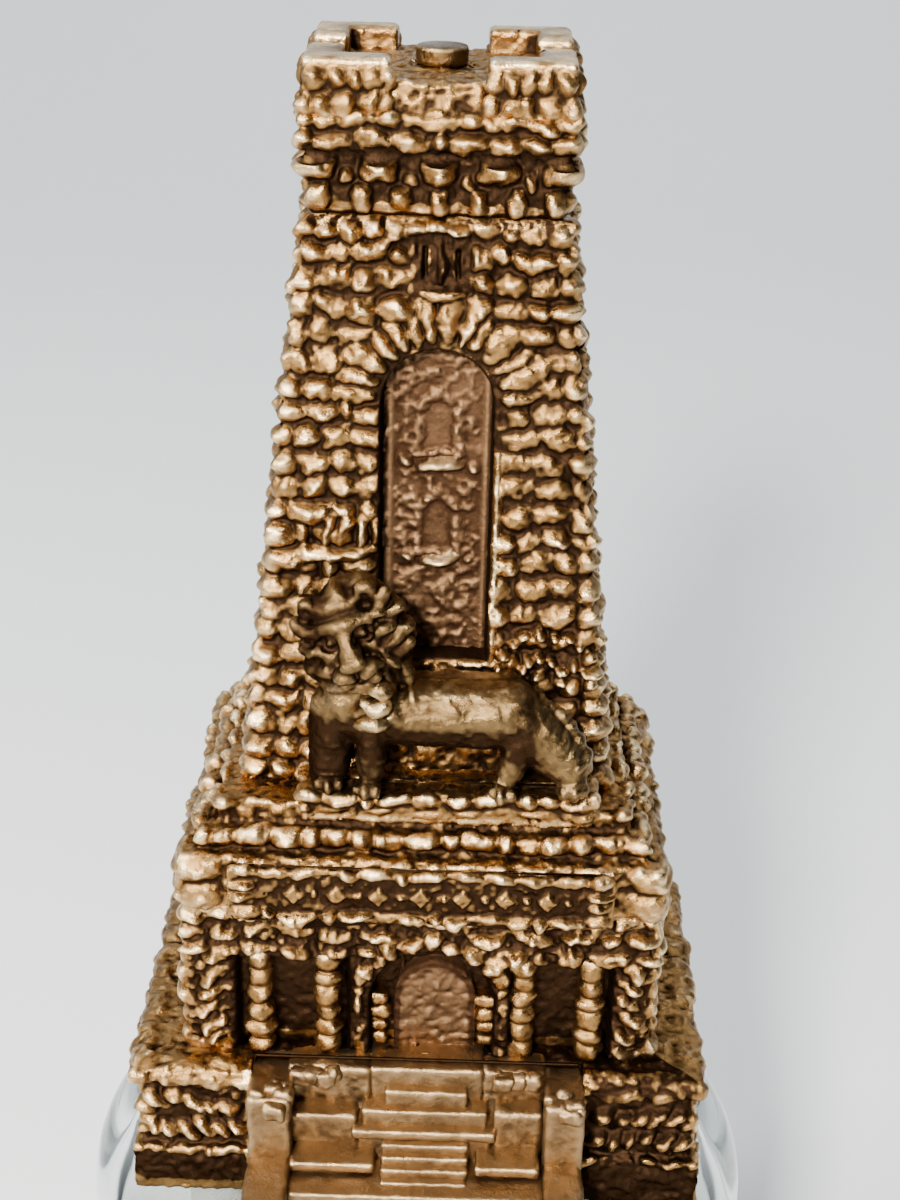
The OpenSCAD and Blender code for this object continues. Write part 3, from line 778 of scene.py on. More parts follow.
def merlon(name, corner, sign_x, sign_y, foot, top, seed):
    """L-shaped corner merlon: two rows of small stones outside, smooth inside and on top."""
    long, thick = 5.4, 2.3
    plan = [(0, 0), (long, 0), (long, thick), (thick, thick), (thick, long), (0, long)]
    radius = 0.35
    path, normals = [], []
    count = len(plan)
    for i in range(count):
        before, here, after = (np.array(plan[(i + k) % count], float) for k in (-1, 0, 1))
        into, out = here - before, after - here
        into, out = into / np.linalg.norm(into), out / np.linalg.norm(out)
        normal_in, normal_out = np.array([into[1], -into[0]]), np.array([out[1], -out[0]])
        turn = into[0] * out[1] - into[1] * out[0]
        centre = here - into * radius + out * radius
        steps = 4
        for k in range(steps + 1):
            share = k / steps
            normal = normal_in * math.cos(share * math.pi / 2) + normal_out * math.sin(share * math.pi / 2)
            if turn > 0:
                path.append(centre + normal * radius)
                normals.append(normal)
        if turn <= 0:
            path.append(here)
            normals.append((normal_in + normal_out) / math.sqrt(2))
        length = np.linalg.norm(after - here) - 2 * radius
        inner_steps = int(length / 0.14)
        start = here + out * radius
        for k in range(1, inner_steps):
            path.append(start + out * length * k / inner_steps)
            normals.append(normal_out)
    path, normals = np.array(path), np.array(normals)
    arc = np.concatenate([[0], np.cumsum(np.linalg.norm(np.diff(path, axis=0), axis=1))])
    levels = np.linspace(0, top - foot, 26)
    rng = np.random.default_rng(seed)
    height = np.zeros((len(levels), len(path)))
    outside = (path[:, 0] < 0.3) | (path[:, 1] < 0.3)
    across, up = arc[None, :], levels[:, None]
    arc_warp = across + 0.22 * plane_noise(across / 0.7, up / 0.7, seed + 2)
    level_warp = up + 0.2 * plane_noise(across / 0.6, up / 0.6, seed + 3)
    for row, middle in enumerate((0.85, 2.35)):
        at = 0.4 + 0.5 * row
        while at < arc[-1]:
            width = rng.uniform(0.9, 1.5)
            ds = (arc_warp - at) / (width * 0.54)
            dv = (level_warp - middle - rng.uniform(-0.1, 0.1)) / 0.76
            dome = np.clip(1 - np.hypot(ds, dv) ** rng.uniform(1.3, 2.4), 0, 1) ** 0.8
            height = np.maximum(height, 0.6 * rng.uniform(0.6, 1.15) * dome * outside[None, :])
            at += width
    height += 0.07 * plane_noise(across / 0.4, up / 0.4, seed + 1)
    rounding = np.clip((levels - (levels[-1] - 0.3)) / 0.3, 0, 1)
    inset = 0.3 * (1 - np.sqrt(1 - rounding ** 2))
    plan_x = path[None, :, 0] + normals[None, :, 0] * (height - inset[:, None])
    plan_y = path[None, :, 1] + normals[None, :, 1] * (height - inset[:, None])
    x = corner[0] - sign_x * plan_x
    y = corner[1] - sign_y * plan_y
    z = np.repeat((foot + levels)[:, None], len(path), axis=1)
    grid = np.stack([x, y, z], axis=-1)
    if sign_x * sign_y < 0:
        grid = grid[:, ::-1]
    elbow = (corner[0] - sign_x * thick / 2, corner[1] - sign_y * thick / 2)
    return closed_tube(name, grid, (*elbow, foot), (*elbow, top + 0.03))


def make_parapet():
    """Corbels, two stone courses and a raised deck between four corner merlons."""
    low, high = figure_box("parapet")
    half, front, back = high[0] - 0.25, low[1] + 0.25, high[1] - 0.25
    foot, top = low[2], high[2]
    corbel_top, roof = foot + 4.0, foot + 6.3
    deck = roof + 1.85
    outline = [(0.9, foot), (0.8, foot + 3.6), (0.35, corbel_top), (0.3, corbel_top + 0.1), (0.3, roof),
               (0.6, roof + 0.2), (0.95, deck - 0.1), (1.2, deck), (7.0, deck)]
    block = Block(profile_rows(half, front, back, outline, grid=0.13, rounding=0.15), 0.4, 500, grid=0.13)
    for relief in block.reliefs:
        # painted shade over the corbels under the overhanging courses, and darker still where the parapet
        # sits on the shaft
        relief.painted_light_and_stain = -0.08 * smoothstep(4.4, 4.0, relief.v) - 0.3 * smoothstep(0.4, 0.1, relief.plain_v)
        width = relief.plain_s[10, -1]
        for i in range(7):
            at = width * (i - 3) / 3.2
            relief.lump(at, 1.0, 0.72, 0.95, 0.85, power=2.6)
        for i in range(5):
            at = width * (i - 2) / 2.06
            relief.lump(at, 2.9, 1.3, 1.0, 1.3, power=3.4, lean=0.15)
        for i in range(4):
            relief.lump(width * (i - 1.5) / 2.06, 2.2, 0.5, 0.5, 0.5)
        relief.course(4.75, 1.35, 2.0, 0.85)
        relief.course(6.0, 1.15, 1.7, 0.6)
        bead = 0.13 * bell(relief.v - 8.45, 0.13)
        groove = 0.1 * bell(relief.v - 8.1, 0.1)
        relief.h += bead - groove
        relief.grain(0.12)
    pieces = [block.build("parapet_block")]
    edge = 0.35
    for i, (sign_x, sign_y) in enumerate(((-1, -1), (1, -1), (-1, 1), (1, 1))):
        corner = (sign_x * (half - edge), (front + edge) if sign_y < 0 else (back - edge))
        pieces.append(merlon(f"merlon_{i}", corner, sign_x, sign_y, roof - 0.3, top, 540 + i))
    for piece in pieces[1:]:
        mark_relief(piece, 16)
    whole = join("parapet_with_merlons", pieces)
    finish_piece(whole, gilt_stone, "gilt", "parapet")


def make_bolt():
    """Tie bolt with a worn domed head."""
    low, high = figure_box("tie_bolt")
    head_top = high[2]
    centre_y = (low[1] + high[1]) / 2
    head_r = high[0]
    profile = [(0.6, low[2]), (1.15, low[2] + 0.3)]
    thread_top = low[2] + 8
    z = low[2] + 0.3
    while z < thread_top:
        profile += [(1.24, z + 0.2), (1.02, z + 0.4)]
        z += 0.4
    profile += [(1.24, thread_top + 0.4), (1.24, head_top - 1.2), (head_r - 0.1, head_top - 1.18),
                (head_r, head_top - 1.0), (head_r, head_top - 0.25), (head_r * 0.95, head_top - 0.1),
                (head_r * 0.72, head_top - 0.04), (head_r * 0.35, head_top - 0.01)]
    profile = np.array(profile)
    arc = np.concatenate([[0], np.cumsum(np.hypot(*np.diff(profile, axis=0).T))])
    at = np.unique(np.concatenate([arc, np.arange(arc[-1] - 5, arc[-1], 0.15)]))
    radius, level = np.interp(at, arc, profile[:, 0]), np.interp(at, arc, profile[:, 1])
    grid = turned_rings(radius, level, 64, y=centre_y)
    uneven = space_noise(grid.reshape(-1, 3), 0.8, 590).reshape(grid.shape[:2]) * 0.035
    roughen_rings(grid, uneven * (level > head_top - 1.15)[:, None])
    piece = closed_tube("roof_bolt", grid)
    settle(piece)
    mark_relief(piece)
    paint(piece, gilt_lion)
    place(piece, "opener", "gilt", "tie_bolt")


# ---------------------------------------------------------------- ledges and plaque


def make_ledges():
    """Cornice and two set-back ledges, with the lion's low pedestal."""
    low, high = figure_box("ledge_slab")
    half, front, back = high[0] - 0.3, low[1] + 0.3, high[1] - 0.3
    foot = low[2]
    cornice, second, first = foot + 4.3, foot + 5.75, foot + 7.2
    outline = [(0.5, foot), (0.0, foot + 0.25), (0.0, cornice), (1.2, cornice + 0.02), (1.3, second),
               (2.3, second + 0.02), (2.4, first), (5.5, first + 0.02)]
    block = Block(profile_rows(half, front, back, outline), 0.5, 600)
    for side, relief in enumerate(block.reliefs):
        beside_plaque = (lambda s, v: abs(s) > 12.6) if side == FRONT else None
        relief.course(1.1, 1.3, 2.3, 0.5, beside_plaque)
        relief.course(2.5, 1.4, 2.0, 0.6, beside_plaque)
        relief.course(3.85, 1.2, 2.2, 0.55, beside_plaque)
        for inset, *stone in ((1.3, 1.4, 1.6, 1.3, 0.75), (1.2, 3.4, 1.7, 1.1, 0.7)):
            relief.lump(relief.plain_s[9, -1] - inset, *stone)
            relief.lump(relief.plain_s[9, 0] + inset, *stone)
        relief.course(6.3, 1.45, 1.9, 0.75, power=3.2)
        relief.course(8.75, 1.0, 2.7, 0.7, fill=0.84)
        relief.grain(0.11)
    slab = block.build("cornice_and_ledges")
    pedestal_low, pedestal_high = (-8.4, -11.2, first - 0.5), (11.6, -7.6, high[2] - 0.05)
    centre_x = (pedestal_low[0] + pedestal_high[0]) / 2
    rows = profile_rows((pedestal_high[0] - pedestal_low[0]) / 2, pedestal_low[1], pedestal_high[1],
                        [(0, pedestal_low[2]), (0.0, pedestal_high[2]), (1.6, pedestal_high[2])], grid=0.13)
    stand = Block(rows, 0.4, 680, centre_x=centre_x, grid=0.13)
    for relief in stand.reliefs:
        relief.course(0.9, 0.9, 2.6, 0.3, fill=0.9)
        relief.course(1.85, 1.1, 2.2, 0.55)
        relief.grain(0.1)
    whole = join("ledges", [slab, stand.build("lion_pedestal")])
    finish_piece(whole, gilt_stone, "gilt", "ledge_slab")


def make_plaque():
    """Raised plaque: beaded borders round a dull field with plain lozenges, and no lettering."""
    low, high = figure_box("ornament_plaque")
    half, front, back = high[0] - 0.1, low[1] + 0.2, high[1]
    rows = profile_rows(half, front, back, [(0.2, low[2]), (0, low[2] + 0.2), (0, high[2] - 0.15),
                                           (0.6, high[2] + 0.1)], grid=0.11, rounding=0.1)
    block = Block(rows, 0.2, 700, grid=0.11)
    face = block.reliefs[FRONT]
    middle, edge = block.v[-1] / 2, block.v[-1] / 2 - 0.55
    field = np.maximum(np.abs(face.plain_s) - half + 1.7, np.abs(face.plain_v - middle) - edge + 0.3)
    face.blend_to(field, -0.45, 0.2)
    face.painted_light_and_stain = -0.06 * smoothstep(0, -0.2, field)
    face.course(middle + edge, 0.9, 2.1, 0.6, low=0.3 - half, high=half - 0.3)
    face.course(middle - edge, 1.0, 1.9, 0.75, low=0.3 - half, high=half - 0.3)
    for sign in (-1, 1):
        for level in (middle - 0.5, middle + 0.5):
            face.lump(sign * (half - 1.0), level, 0.95, 0.46, 0.7)
    lozenges = 7
    for i in range(lozenges):
        at = (i - (lozenges - 1) / 2) * 2.9
        rhomb = 1 - np.abs(face.plain_s - at) / 1.15 - np.abs(face.plain_v - middle) / 1.15
        face.h = np.maximum(face.h, np.minimum(1.6 * np.clip(rhomb, 0, 1), 0.75) - 0.45)
        face.lump(at + 1.45, middle, 0.3, 0.3, 0.3)
    face.grain(0.1)
    piece = block.build("ornament_panel", 20)
    finish_piece(piece, gilt_stone, "gilt", "ornament_plaque")


# ---------------------------------------------------------------- lower storey


def beaded_column(name, x, y, foot, top, radius, seed):
    """Column that reads as a stack of uneven beads."""
    rng = np.random.default_rng(seed)
    count = 6
    cuts = np.linspace(0, 1, count + 1)
    cuts[1:-1] += rng.uniform(-0.03, 0.03, count - 1)
    share = np.linspace(0, 1, 72)
    wide = np.full_like(share, 0.62)
    for start, end in zip(cuts[:-1], cuts[1:]):
        across = (share - (start + end) / 2) / ((end - start) / 2)
        swell = 0.62 + rng.uniform(0.35, 0.62) * np.clip(1 - across ** 2, 0, 1) ** 0.6
        wide = np.maximum(wide, swell * (np.abs(across) <= 1))
    wide *= radius
    grid = turned_rings(wide, foot + share * (top - foot), 36, x, y)
    roughen_rings(grid, space_noise(grid.reshape(-1, 3), 0.7, seed).reshape(grid.shape[:2]) * 0.2)
    return closed_tube(name, grid)


def make_storey():
    """Lower storey: stone rows, a deep portal with a rubble arch, and beaded columns in dark bays."""
    low, high = figure_box("lower_storey")
    sunk = 0.3
    half, front, back = high[0] - sunk, -12.5 + sunk, high[1] - sunk
    foot, top = low[2], high[2]
    block = Block(wall_rows(half, front, back, foot, top), 0.6, 800)
    face = block.reliefs[FRONT]
    arch_x, arch_half, spring = 0.9, 4.6, 15.5 - foot
    height = top - foot
    bay_top = height - 4.0

    def near_portal(s, v):
        if v > spring:
            return math.hypot(s - arch_x, v - spring) < 6.2
        return abs(s - arch_x) < arch_half + 1.0

    face.course(height - 0.75, 0.8, 2.4, 0.4, near_portal, fill=0.85)
    face.course(height - 1.9, 1.35, 2.6, 0.75, near_portal, fill=0.92)
    face.course(height - 3.4, 1.35, 2.5, 0.8, near_portal, fill=0.92)
    for sign in (-1, 1):
        for i in range(6):
            face.lump(sign * (14.9 + face.rng.uniform(-0.6, 0.6)), 0.9 + 1.4 * i, 1.4, 0.6, 0.75,
                      turn=-sign * 0.6)
    face.wedges(arch_x, spring, arch_half + 0.1, 6.4, 13, 0.75, 1.12 * math.pi)
    portal = face.arch(arch_x, arch_half, -1.0, spring)
    for relief in block.reliefs:
        relief.grain(0.12)
    for start, end in ((-13.2, -4.9), (6.4, 13.9)):
        inside = np.maximum(np.maximum(start - face.plain_s, face.plain_s - end), face.plain_v - bay_top)
        face.blend_to(inside, -1.3, 0.4)
    face.painted_light_and_stain -= 0.05
    face.blend_to(portal, -1.7, 0.5)
    face.grain(0.08)
    for side in (RIGHT, BACK, LEFT):
        block.reliefs[side].courses(0.1, height - 0.2, 1.72, 2.1, 0.7)
    pieces = [block.build("storey_walls")]
    for i, x in enumerate((-11.4, -6.5, 7.4, 12.2)):
        column_top = foot + bay_top + 0.4
        pieces.append(beaded_column(f"column_{i}", x, front + 0.35, foot, column_top, 0.95, 850 + i))
    rng = np.random.default_rng(870)
    for x in (-2.9, 4.8):
        for level in range(4):
            z = foot + 0.3 + 1.15 * level
            wide = rng.uniform(0.6, 0.95)
            start, end = (x - wide, front + 0.5, z), (x + wide, front + 1.9, z + 0.95)
            seed = int(880 + 10 * x + level)
            pieces.append(soft_box(f"jamb_{x}_{level}", start, end, 0.42, 0.2, seed, 0.13))
    for piece in pieces[1:]:
        mark_relief(piece, 16)
    for piece in pieces:
        paint(piece, gilt_stone)
    pieces.append(make_door(arch_x + 0.2, front + 1.1, foot))
    whole = join("storey", pieces)
    settle(whole)
    place(whole, "opener", "gilt", "lower_storey")


def make_door(x, y, foot):
    """Arched door leaf, dull and uneven, with a low panel line."""
    block = Block(wall_rows(2.95, y, y + 1.2, foot - 0.2, foot + 8.2, grid=0.12), 0.2, 895, x, 0.12)
    face = block.reliefs[FRONT]
    panel = face.arch(0.0, 2.1, 0.9, 4.6)
    face.h -= 0.16 * bell(panel, 0.2)
    for i in range(6):
        face.course(0.8 + 1.2 * i, 1.2, 2.2, 0.1)
    face.grain(0.1)
    face.blend_to(-face.arch(0.0, 2.9, -1.0, 4.6), -0.7, 0.3)
    face.painted_light_and_stain += 0.08
    for side in (RIGHT, LEFT):
        block.reliefs[side].h -= 0.7 * smoothstep(4.0, 5.4, block.reliefs[side].plain_v)
    door = block.build("door", 18)
    paint(door, matte_gilt)
    return door


# ---------------------------------------------------------------- plinth and stairs


def make_plinth():
    """Plinth: rough ledge, rows of slanting stones and a coping, lowered where the stairs run in."""
    low, high = figure_box("plinth")
    sunk = 0.25
    half, front, back = high[0] - sunk, low[1] + sunk, high[1] - sunk
    top = high[2]
    outline = [(0.0, 0.0), (0.0, 3.4), (0.3, 3.7), (0.7, 3.9), (0.75, top - 1.7), (0.1, top - 1.4),
               (0.0, top - 0.9), (0.1, top - 0.15), (0.5, top - 0.05), (12.5, top - 0.05)]
    block = Block(profile_rows(half, front, back, outline, rounding=0.2), 0.6, 900)
    for side, relief in enumerate(block.reliefs):
        # painted shade and painted reflection darken the foot band
        relief.painted_light_and_stain = -0.2 * smoothstep(3.4, 3.0, relief.v)
        relief.course(3.6, 0.9, 1.7, 0.5)
        if side == FRONT:
            for sign in (-1, 1):
                for i in range(7):
                    at = 12.9 + 1.25 * i
                    relief.lump(sign * at, 5.6 + relief.rng.uniform(-0.4, 0.4), 1.15, 0.62, 0.9,
                                turn=sign * relief.rng.uniform(0.5, 0.9))
                    relief.lump(sign * (at + 0.6), 7.7 + relief.rng.uniform(-0.5, 0.5), 1.2, 0.65, 0.9,
                                turn=sign * relief.rng.uniform(0.2, 0.8))
        else:
            relief.course(5.5, 1.6, 2.4, 0.7)
            relief.course(7.2, 1.6, 2.2, 0.7)
            relief.course(8.5, 1.1, 2.4, 0.5)
        relief.course(10.5, 1.3, 2.9, 0.42)
        relief.course(12.2, 1.6, 2.6, 0.2)
        relief.grain(0.12)
    face = block.reliefs[FRONT]
    inset = block.walls[:, 1] - front
    notch = np.abs(face.plain_s) - 11.9
    lowered = -(2.5 - np.minimum(inset, 2.5))[:, None]
    share = smoothstep(0, -0.15, notch) * (inset < 2.4)[:, None]
    face.h = face.h * (1 - share) + lowered * share
    # painted shade where the stairs run into the plinth
    face.painted_light_and_stain -= 0.25 * smoothstep(0.2, -0.2, notch) * (inset < 5)[:, None]
    # front below the coping a little darker, and painted shade towards the right end
    face.painted_light_and_stain -= 0.07 * (face.plain_v < 9.6) + 0.19 * smoothstep(10, 12, face.plain_s)
    piece = block.build("plinth_casting")
    finish_piece(piece, gilt_stone, "gilt", "plinth")


def make_stairs():
    """Threshold, landing and base slab, joined by worn steps between cheek walls and terraces."""
    low, high = figure_box("stair_block")
    pieces = []
    middle = 0.7

    def block(name, start, end, radius=0.25, roughness=0.09, spacing=0.17):
        seed = 1000 + 7 * len(pieces)
        pieces.append(soft_box(name, start, end, radius, roughness, seed, spacing))

    back = high[1]
    block("threshold", (middle - 4.1, -14.1, 4.0), (middle + 4.1, back + 2.2, 11.1), 0.3)
    block("upper_step_0", (middle - 3.0, -14.9, 4.0), (middle + 3.0, back, 9.7))
    block("upper_step_1", (middle - 4.6, -15.6, 3.0), (middle + 4.4, back, 8.5), 0.2)
    block("landing", (middle - 5.3, -16.4, 6.5), (middle + 5.1, back, 7.3), 0.25)
    block("landing_core", (middle - 4.9, -16.1, 0.0), (middle + 4.7, back, 7.0))
    for i in range(4):
        z, y = 6.6 - 0.6 * i, -16.95 - 0.62 * i
        block(f"middle_step_{i}", (middle - 3.1, y, 0.0), (middle + 3.1, -15.5, z), 0.2, 0.1, 0.14)
    for sign in (-1, 1):
        start, end = sorted((middle + sign * 3.6, sign * 8.9))
        block(f"side_slab_{sign + 1}", (start, -18.1, 4.9), (end, -15.0, 5.7))
        block(f"side_core_{sign + 1}", (start + 0.3, -17.5, 0.0), (end, -15.0, 5.2))
        start, end = sorted((middle + sign * 4.9, sign * 9.1))
        block(f"terrace_{sign + 1}", (start, -15.7, 0.0), (end, back, 8.4 + 0.3 * sign), 0.35, 0.14)
        start, end = sorted((middle + sign * 4.0, sign * 9.3))
        block(f"shelf_{sign + 1}", (start, -14.1, 4.0), (end, back + 1.2, 11.05), 0.4, 0.2)
    block("base_slab", (-9.0, -20.0, 3.6), (9.2, -15.0, 4.6))
    block("base_core", (-8.8, -19.5, 0.0), (9.0, -15.0, 4.2))
    for i in range(6):
        z, y = 3.7 - 0.62 * i, -20.5 - 0.58 * i
        block(f"lower_step_{i}", (-8.8, y, 0.0), (9.1, -15.0, z), 0.2, 0.1, 0.18)
    for sign in (-1, 1):
        inner, outer = sorted((sign * 9.0 + 0.15, sign * 11.95))
        block(f"cheek_{sign + 1}", (inner, -17.4, 0.0), (outer, back, high[2] - 0.3), 0.35, 0.12)
        block(f"newel_{sign + 1}", (inner, low[1] + 0.15, 0.0), (outer, -16.8, 5.5), 0.35, 0.12)
        rng = np.random.default_rng(1100 + sign)
        for i in range(12):
            x = sign * rng.uniform(5.8, 11.5)
            y = -14.2 if abs(x) < 9 else rng.uniform(-17.5, -15.6)
            y += rng.uniform(-0.2, 0.3)
            size = rng.uniform(0.45, 0.85)
            z = high[2] - (0.9 if y < -17 else 0.5)
            block(f"rubble_{sign + 1}_{i}", (x - size, y - 0.7 * size, z - size),
                  (x + size, y + 0.7 * size, z + 0.55), 0.42, 0.3, 0.14)
    for piece in pieces:
        mark_relief(piece, 14)
    whole = join("stairs", pieces)
    finish_piece(whole, gilt_smooth, "gilt", "stair_block")


# ---------------------------------------------------------------- lion


def ball(centre, radii, tilt=0.0):
    """Ellipsoid for the lion's body, tilted about Y."""
    bpy.ops.mesh.primitive_uv_sphere_add(segments=40, ring_count=24, radius=1, location=centre)
    made = bpy.context.object
    made.scale = radii
    made.rotation_euler = (0, tilt, 0)
    bpy.ops.object.transform_apply(location=True, rotation=True, scale=True)
    return made


def limb(start, end, start_r, end_r, balls):
    """Tapering limb of overlapping balls."""
    start, end = np.array(start, float), np.array(end, float)
    made = []
    for share in np.linspace(0, 1, balls):
        radius = start_r + (end_r - start_r) * share
        made.append(ball(tuple(start + (end - start) * share), (radius,) * 3))
    return made


LION_Y = -9.7
LION_PARTS = (
    # broad back and flank, level along its top
    ("limb", (-2.0, -0.2, 5.7), (5.6, 0.1, 5.6), 2.2, 2.35, 16),
    ("limb", (-0.5, 1.6, 6.3), (5.4, 1.6, 6.3), 1.6, 1.6, 10),
    # haunch that sweeps down to the far hind paw
    ("limb", (5.6, 0.1, 5.7), (9.6, -0.4, 2.3), 2.35, 1.6, 10),
    ("limb", (9.6, -0.4, 2.3), (10.2, -1.0, 1.0), 1.5, 0.95, 4),
    # near hind leg
    ("limb", (6.6, -0.8, 4.2), (5.5, -1.2, 0.9), 1.5, 0.75, 8),
    # tail along the haunch
    ("limb", (7.4, 0.6, 7.0), (9.4, 0.1, 5.3), 0.42, 0.46, 6),
    ("limb", (9.4, 0.1, 5.3), (10.9, -0.3, 3.0), 0.46, 0.5, 6),
    ("ball", (10.7, -0.6, 2.2), (0.8, 0.8, 0.95)),
    # chest, forelegs and paws
    ("ball", (-4.3, 0.2, 6.4), (3.1, 2.2, 3.4)),
    ("limb", (-3.4, -1.0, 6.0), (-3.7, -1.3, 0.9), 1.25, 0.85, 9),
    ("limb", (-6.0, 0.1, 6.0), (-6.6, 0.2, 1.2), 1.7, 1.5, 9),
    ("ball", (-3.8, -2.0, 0.6), (1.0, 1.0, 0.6)),
    ("ball", (-6.5, -1.3, 0.6), (1.0, 1.0, 0.6)),
    ("ball", (5.4, -1.9, 0.6), (0.95, 0.95, 0.6)),
    ("ball", (10.1, -1.5, 0.7), (1.1, 1.0, 0.7)),
    # mane: a deep oval with a smooth rim on its right
    ("ball", (-4.7, 0.1, 10.6), (3.5, 2.2, 5.1)),
    ("limb", (-2.9, -0.6, 14.2), (-1.6, -0.3, 11.8), 0.75, 0.8, 6),
    ("limb", (-1.6, -0.3, 11.8), (-1.6, -0.2, 8.6), 0.8, 0.75, 6),
    # three tufts down the chest, beside the muzzle
    ("ball", (-3.2, -2.6, 8.7), (1.25, 0.8, 0.5)),
    ("ball", (-3.35, -2.6, 7.4), (1.0, 0.8, 0.48)),
    ("ball", (-3.55, -2.5, 5.9), (1.3, 0.85, 0.55)),
)

# the head is laid out upright, about the middle of its face, and then tilted as a whole
HEAD = (-5.15, 0.0, 11.95)
HEAD_TILT = math.radians(21)
HEAD_PARTS = (
    # skull, with a low smooth crown between round ears
    ("ball", (0.0, -0.5, 0.4), (2.4, 1.9, 2.4)),
    ("ball", (0.0, -0.6, 2.1), (2.1, 1.5, 1.2)),
    ("ball", (-2.0, -1.2, 2.5), (0.75, 0.55, 0.75)),
    ("ball", (2.0, -1.2, 2.5), (0.75, 0.55, 0.75)),
    # brows, eyes and cheeks
    ("limb", (-1.8, -1.7, 1.0), (-0.3, -2.3, 1.1), 0.55, 0.6, 6),
    ("limb", (0.3, -2.3, 1.1), (1.8, -1.7, 1.0), 0.6, 0.55, 6),
    ("ball", (-1.15, -1.9, 0.15), (0.42, 0.42, 0.32)),
    ("ball", (1.15, -1.9, 0.15), (0.42, 0.42, 0.32)),
    ("ball", (-1.5, -1.6, -1.0), (0.8, 0.8, 0.9)),
    ("ball", (1.5, -1.6, -1.0), (0.8, 0.8, 0.9)),
    # broad nose, the two pads of the muzzle, and the chin
    ("limb", (0, -2.1, 1.0), (0, -3.0, -1.0), 0.75, 0.8, 8),
    ("ball", (0, -3.5, -1.3), (0.95, 0.45, 0.5)),
    ("ball", (-0.8, -2.9, -2.1), (1.05, 0.95, 0.8)),
    ("ball", (0.8, -2.9, -2.1), (1.05, 0.95, 0.8)),
    ("ball", (0, -2.6, -3.1), (0.95, 0.85, 0.6)),
    # thick locks that sweep up and away beside the face
    ("limb", (1.9, -1.9, 0.9), (3.3, -1.2, 1.9), 0.5, 0.5, 6),
    ("limb", (2.1, -1.9, -0.3), (3.7, -1.1, 0.6), 0.5, 0.5, 6),
    ("limb", (2.1, -1.9, -1.5), (3.8, -1.0, -0.7), 0.52, 0.5, 6),
    ("limb", (1.6, -2.1, -2.6), (3.5, -1.1, -2.0), 0.52, 0.5, 6),
    ("limb", (-1.9, -1.8, 0.9), (-2.9, -1.0, 1.5), 0.5, 0.45, 5),
    ("limb", (-2.0, -1.8, -0.4), (-3.1, -0.9, 0.0), 0.5, 0.45, 5),
    ("limb", (-1.9, -1.9, -1.7), (-3.0, -0.9, -1.6), 0.5, 0.45, 5),
    ("limb", (-1.4, -2.2, -2.8), (-2.5, -1.2, -3.2), 0.5, 0.45, 5),
)


def on_head(point):
    """Place, in the lion's frame, of a point given in the upright head's frame."""
    u, y, w = point
    c, s = math.cos(HEAD_TILT), math.sin(HEAD_TILT)
    return HEAD[0] + c * u - s * w, HEAD[1] + y, HEAD[2] + s * u + c * w


def make_lion():
    """Lion with a deep mane, built from muscles and locks, fused, and then carved."""
    foot = figure_box("ledge_slab")[1][2]
    parts = []
    for kind, *numbers in LION_PARTS:
        parts += [ball(*numbers)] if kind == "ball" else limb(*numbers)
    for kind, start, *numbers in HEAD_PARTS:
        if kind == "ball":
            parts.append(ball(on_head(start), *numbers, -HEAD_TILT))
        else:
            parts += limb(on_head(start), on_head(numbers[0]), *numbers[1:])
    lion = join("lion_casting", parts)
    fuse = lion.modifiers.new("fuse", "REMESH")
    fuse.mode, fuse.voxel_size = "VOXEL", 0.12
    soften = lion.modifiers.new("soften", "SMOOTH")
    soften.factor, soften.iterations = 0.5, 6
    select(lion)
    for name in ("fuse", "soften"):
        bpy.ops.object.modifier_apply(modifier=name)
    mesh = lion.data
    points = read_vectors(mesh, "co").astype(float)
    points += read_vectors(mesh, "normal").astype(float) * carve_lion(points)[:, None]
    points[:, 2] = np.maximum(points[:, 2], 0.02)
    ground = np.array([0, LION_Y, foot])
    points = (points + ground) * MM
    mesh.vertices.foreach_set("co", points.astype(np.float32).ravel())
    mesh.polygons.foreach_set("use_smooth", np.ones(len(mesh.polygons), bool))
    mesh.update()
    settle(lion)
    mark_relief(lion, 26, lion_painted_light_and_darkening(points / MM - ground))
    paint(lion, gilt_lion)
    place(lion, "opener", "gilt", "lion")


def lion_painted_light_and_darkening(points):
    """Painted highlights on the lion's back and chest tufts, painted shade on its forelegs and flank, and a
    darker head, cheek and haunch.
    """
    x, y, z = points.T
    legs = smoothstep(6.4, 5.0, z) * smoothstep(-1.8, -2.6, x)
    flank = smoothstep(5.8, 5.0, z) * smoothstep(2.6, 3.4, z)
    flank = flank * smoothstep(-3, -1, x) * smoothstep(8, 6, x)
    cheek = smoothstep(-6.4, -7.4, x) * smoothstep(6, 7, z)
    saddle = smoothstep(6.8, 7.8, z) * smoothstep(-1, 0.5, x) * smoothstep(6.5, 4.5, x)
    haunch = smoothstep(5.4, 6.4, x) * smoothstep(8.6, 7.2, x)
    head = smoothstep(8.0, 9.5, z)
    tufts = smoothstep(1.4, 0.9, np.abs(x + 3.3)) * (y < -2.4)
    tufts = tufts * smoothstep(5.2, 5.6, z) * smoothstep(9.3, 8.9, z)
    # painted highlights on the chest tufts and along the back
    worn = 0.2 * tufts + 0.12 * saddle
    # painted shade on the forelegs and under the back; the head, left cheek and haunch darker
    return worn - 0.17 * legs - 0.15 * flank - 0.09 * cheek - 0.11 * haunch - 0.11 * head


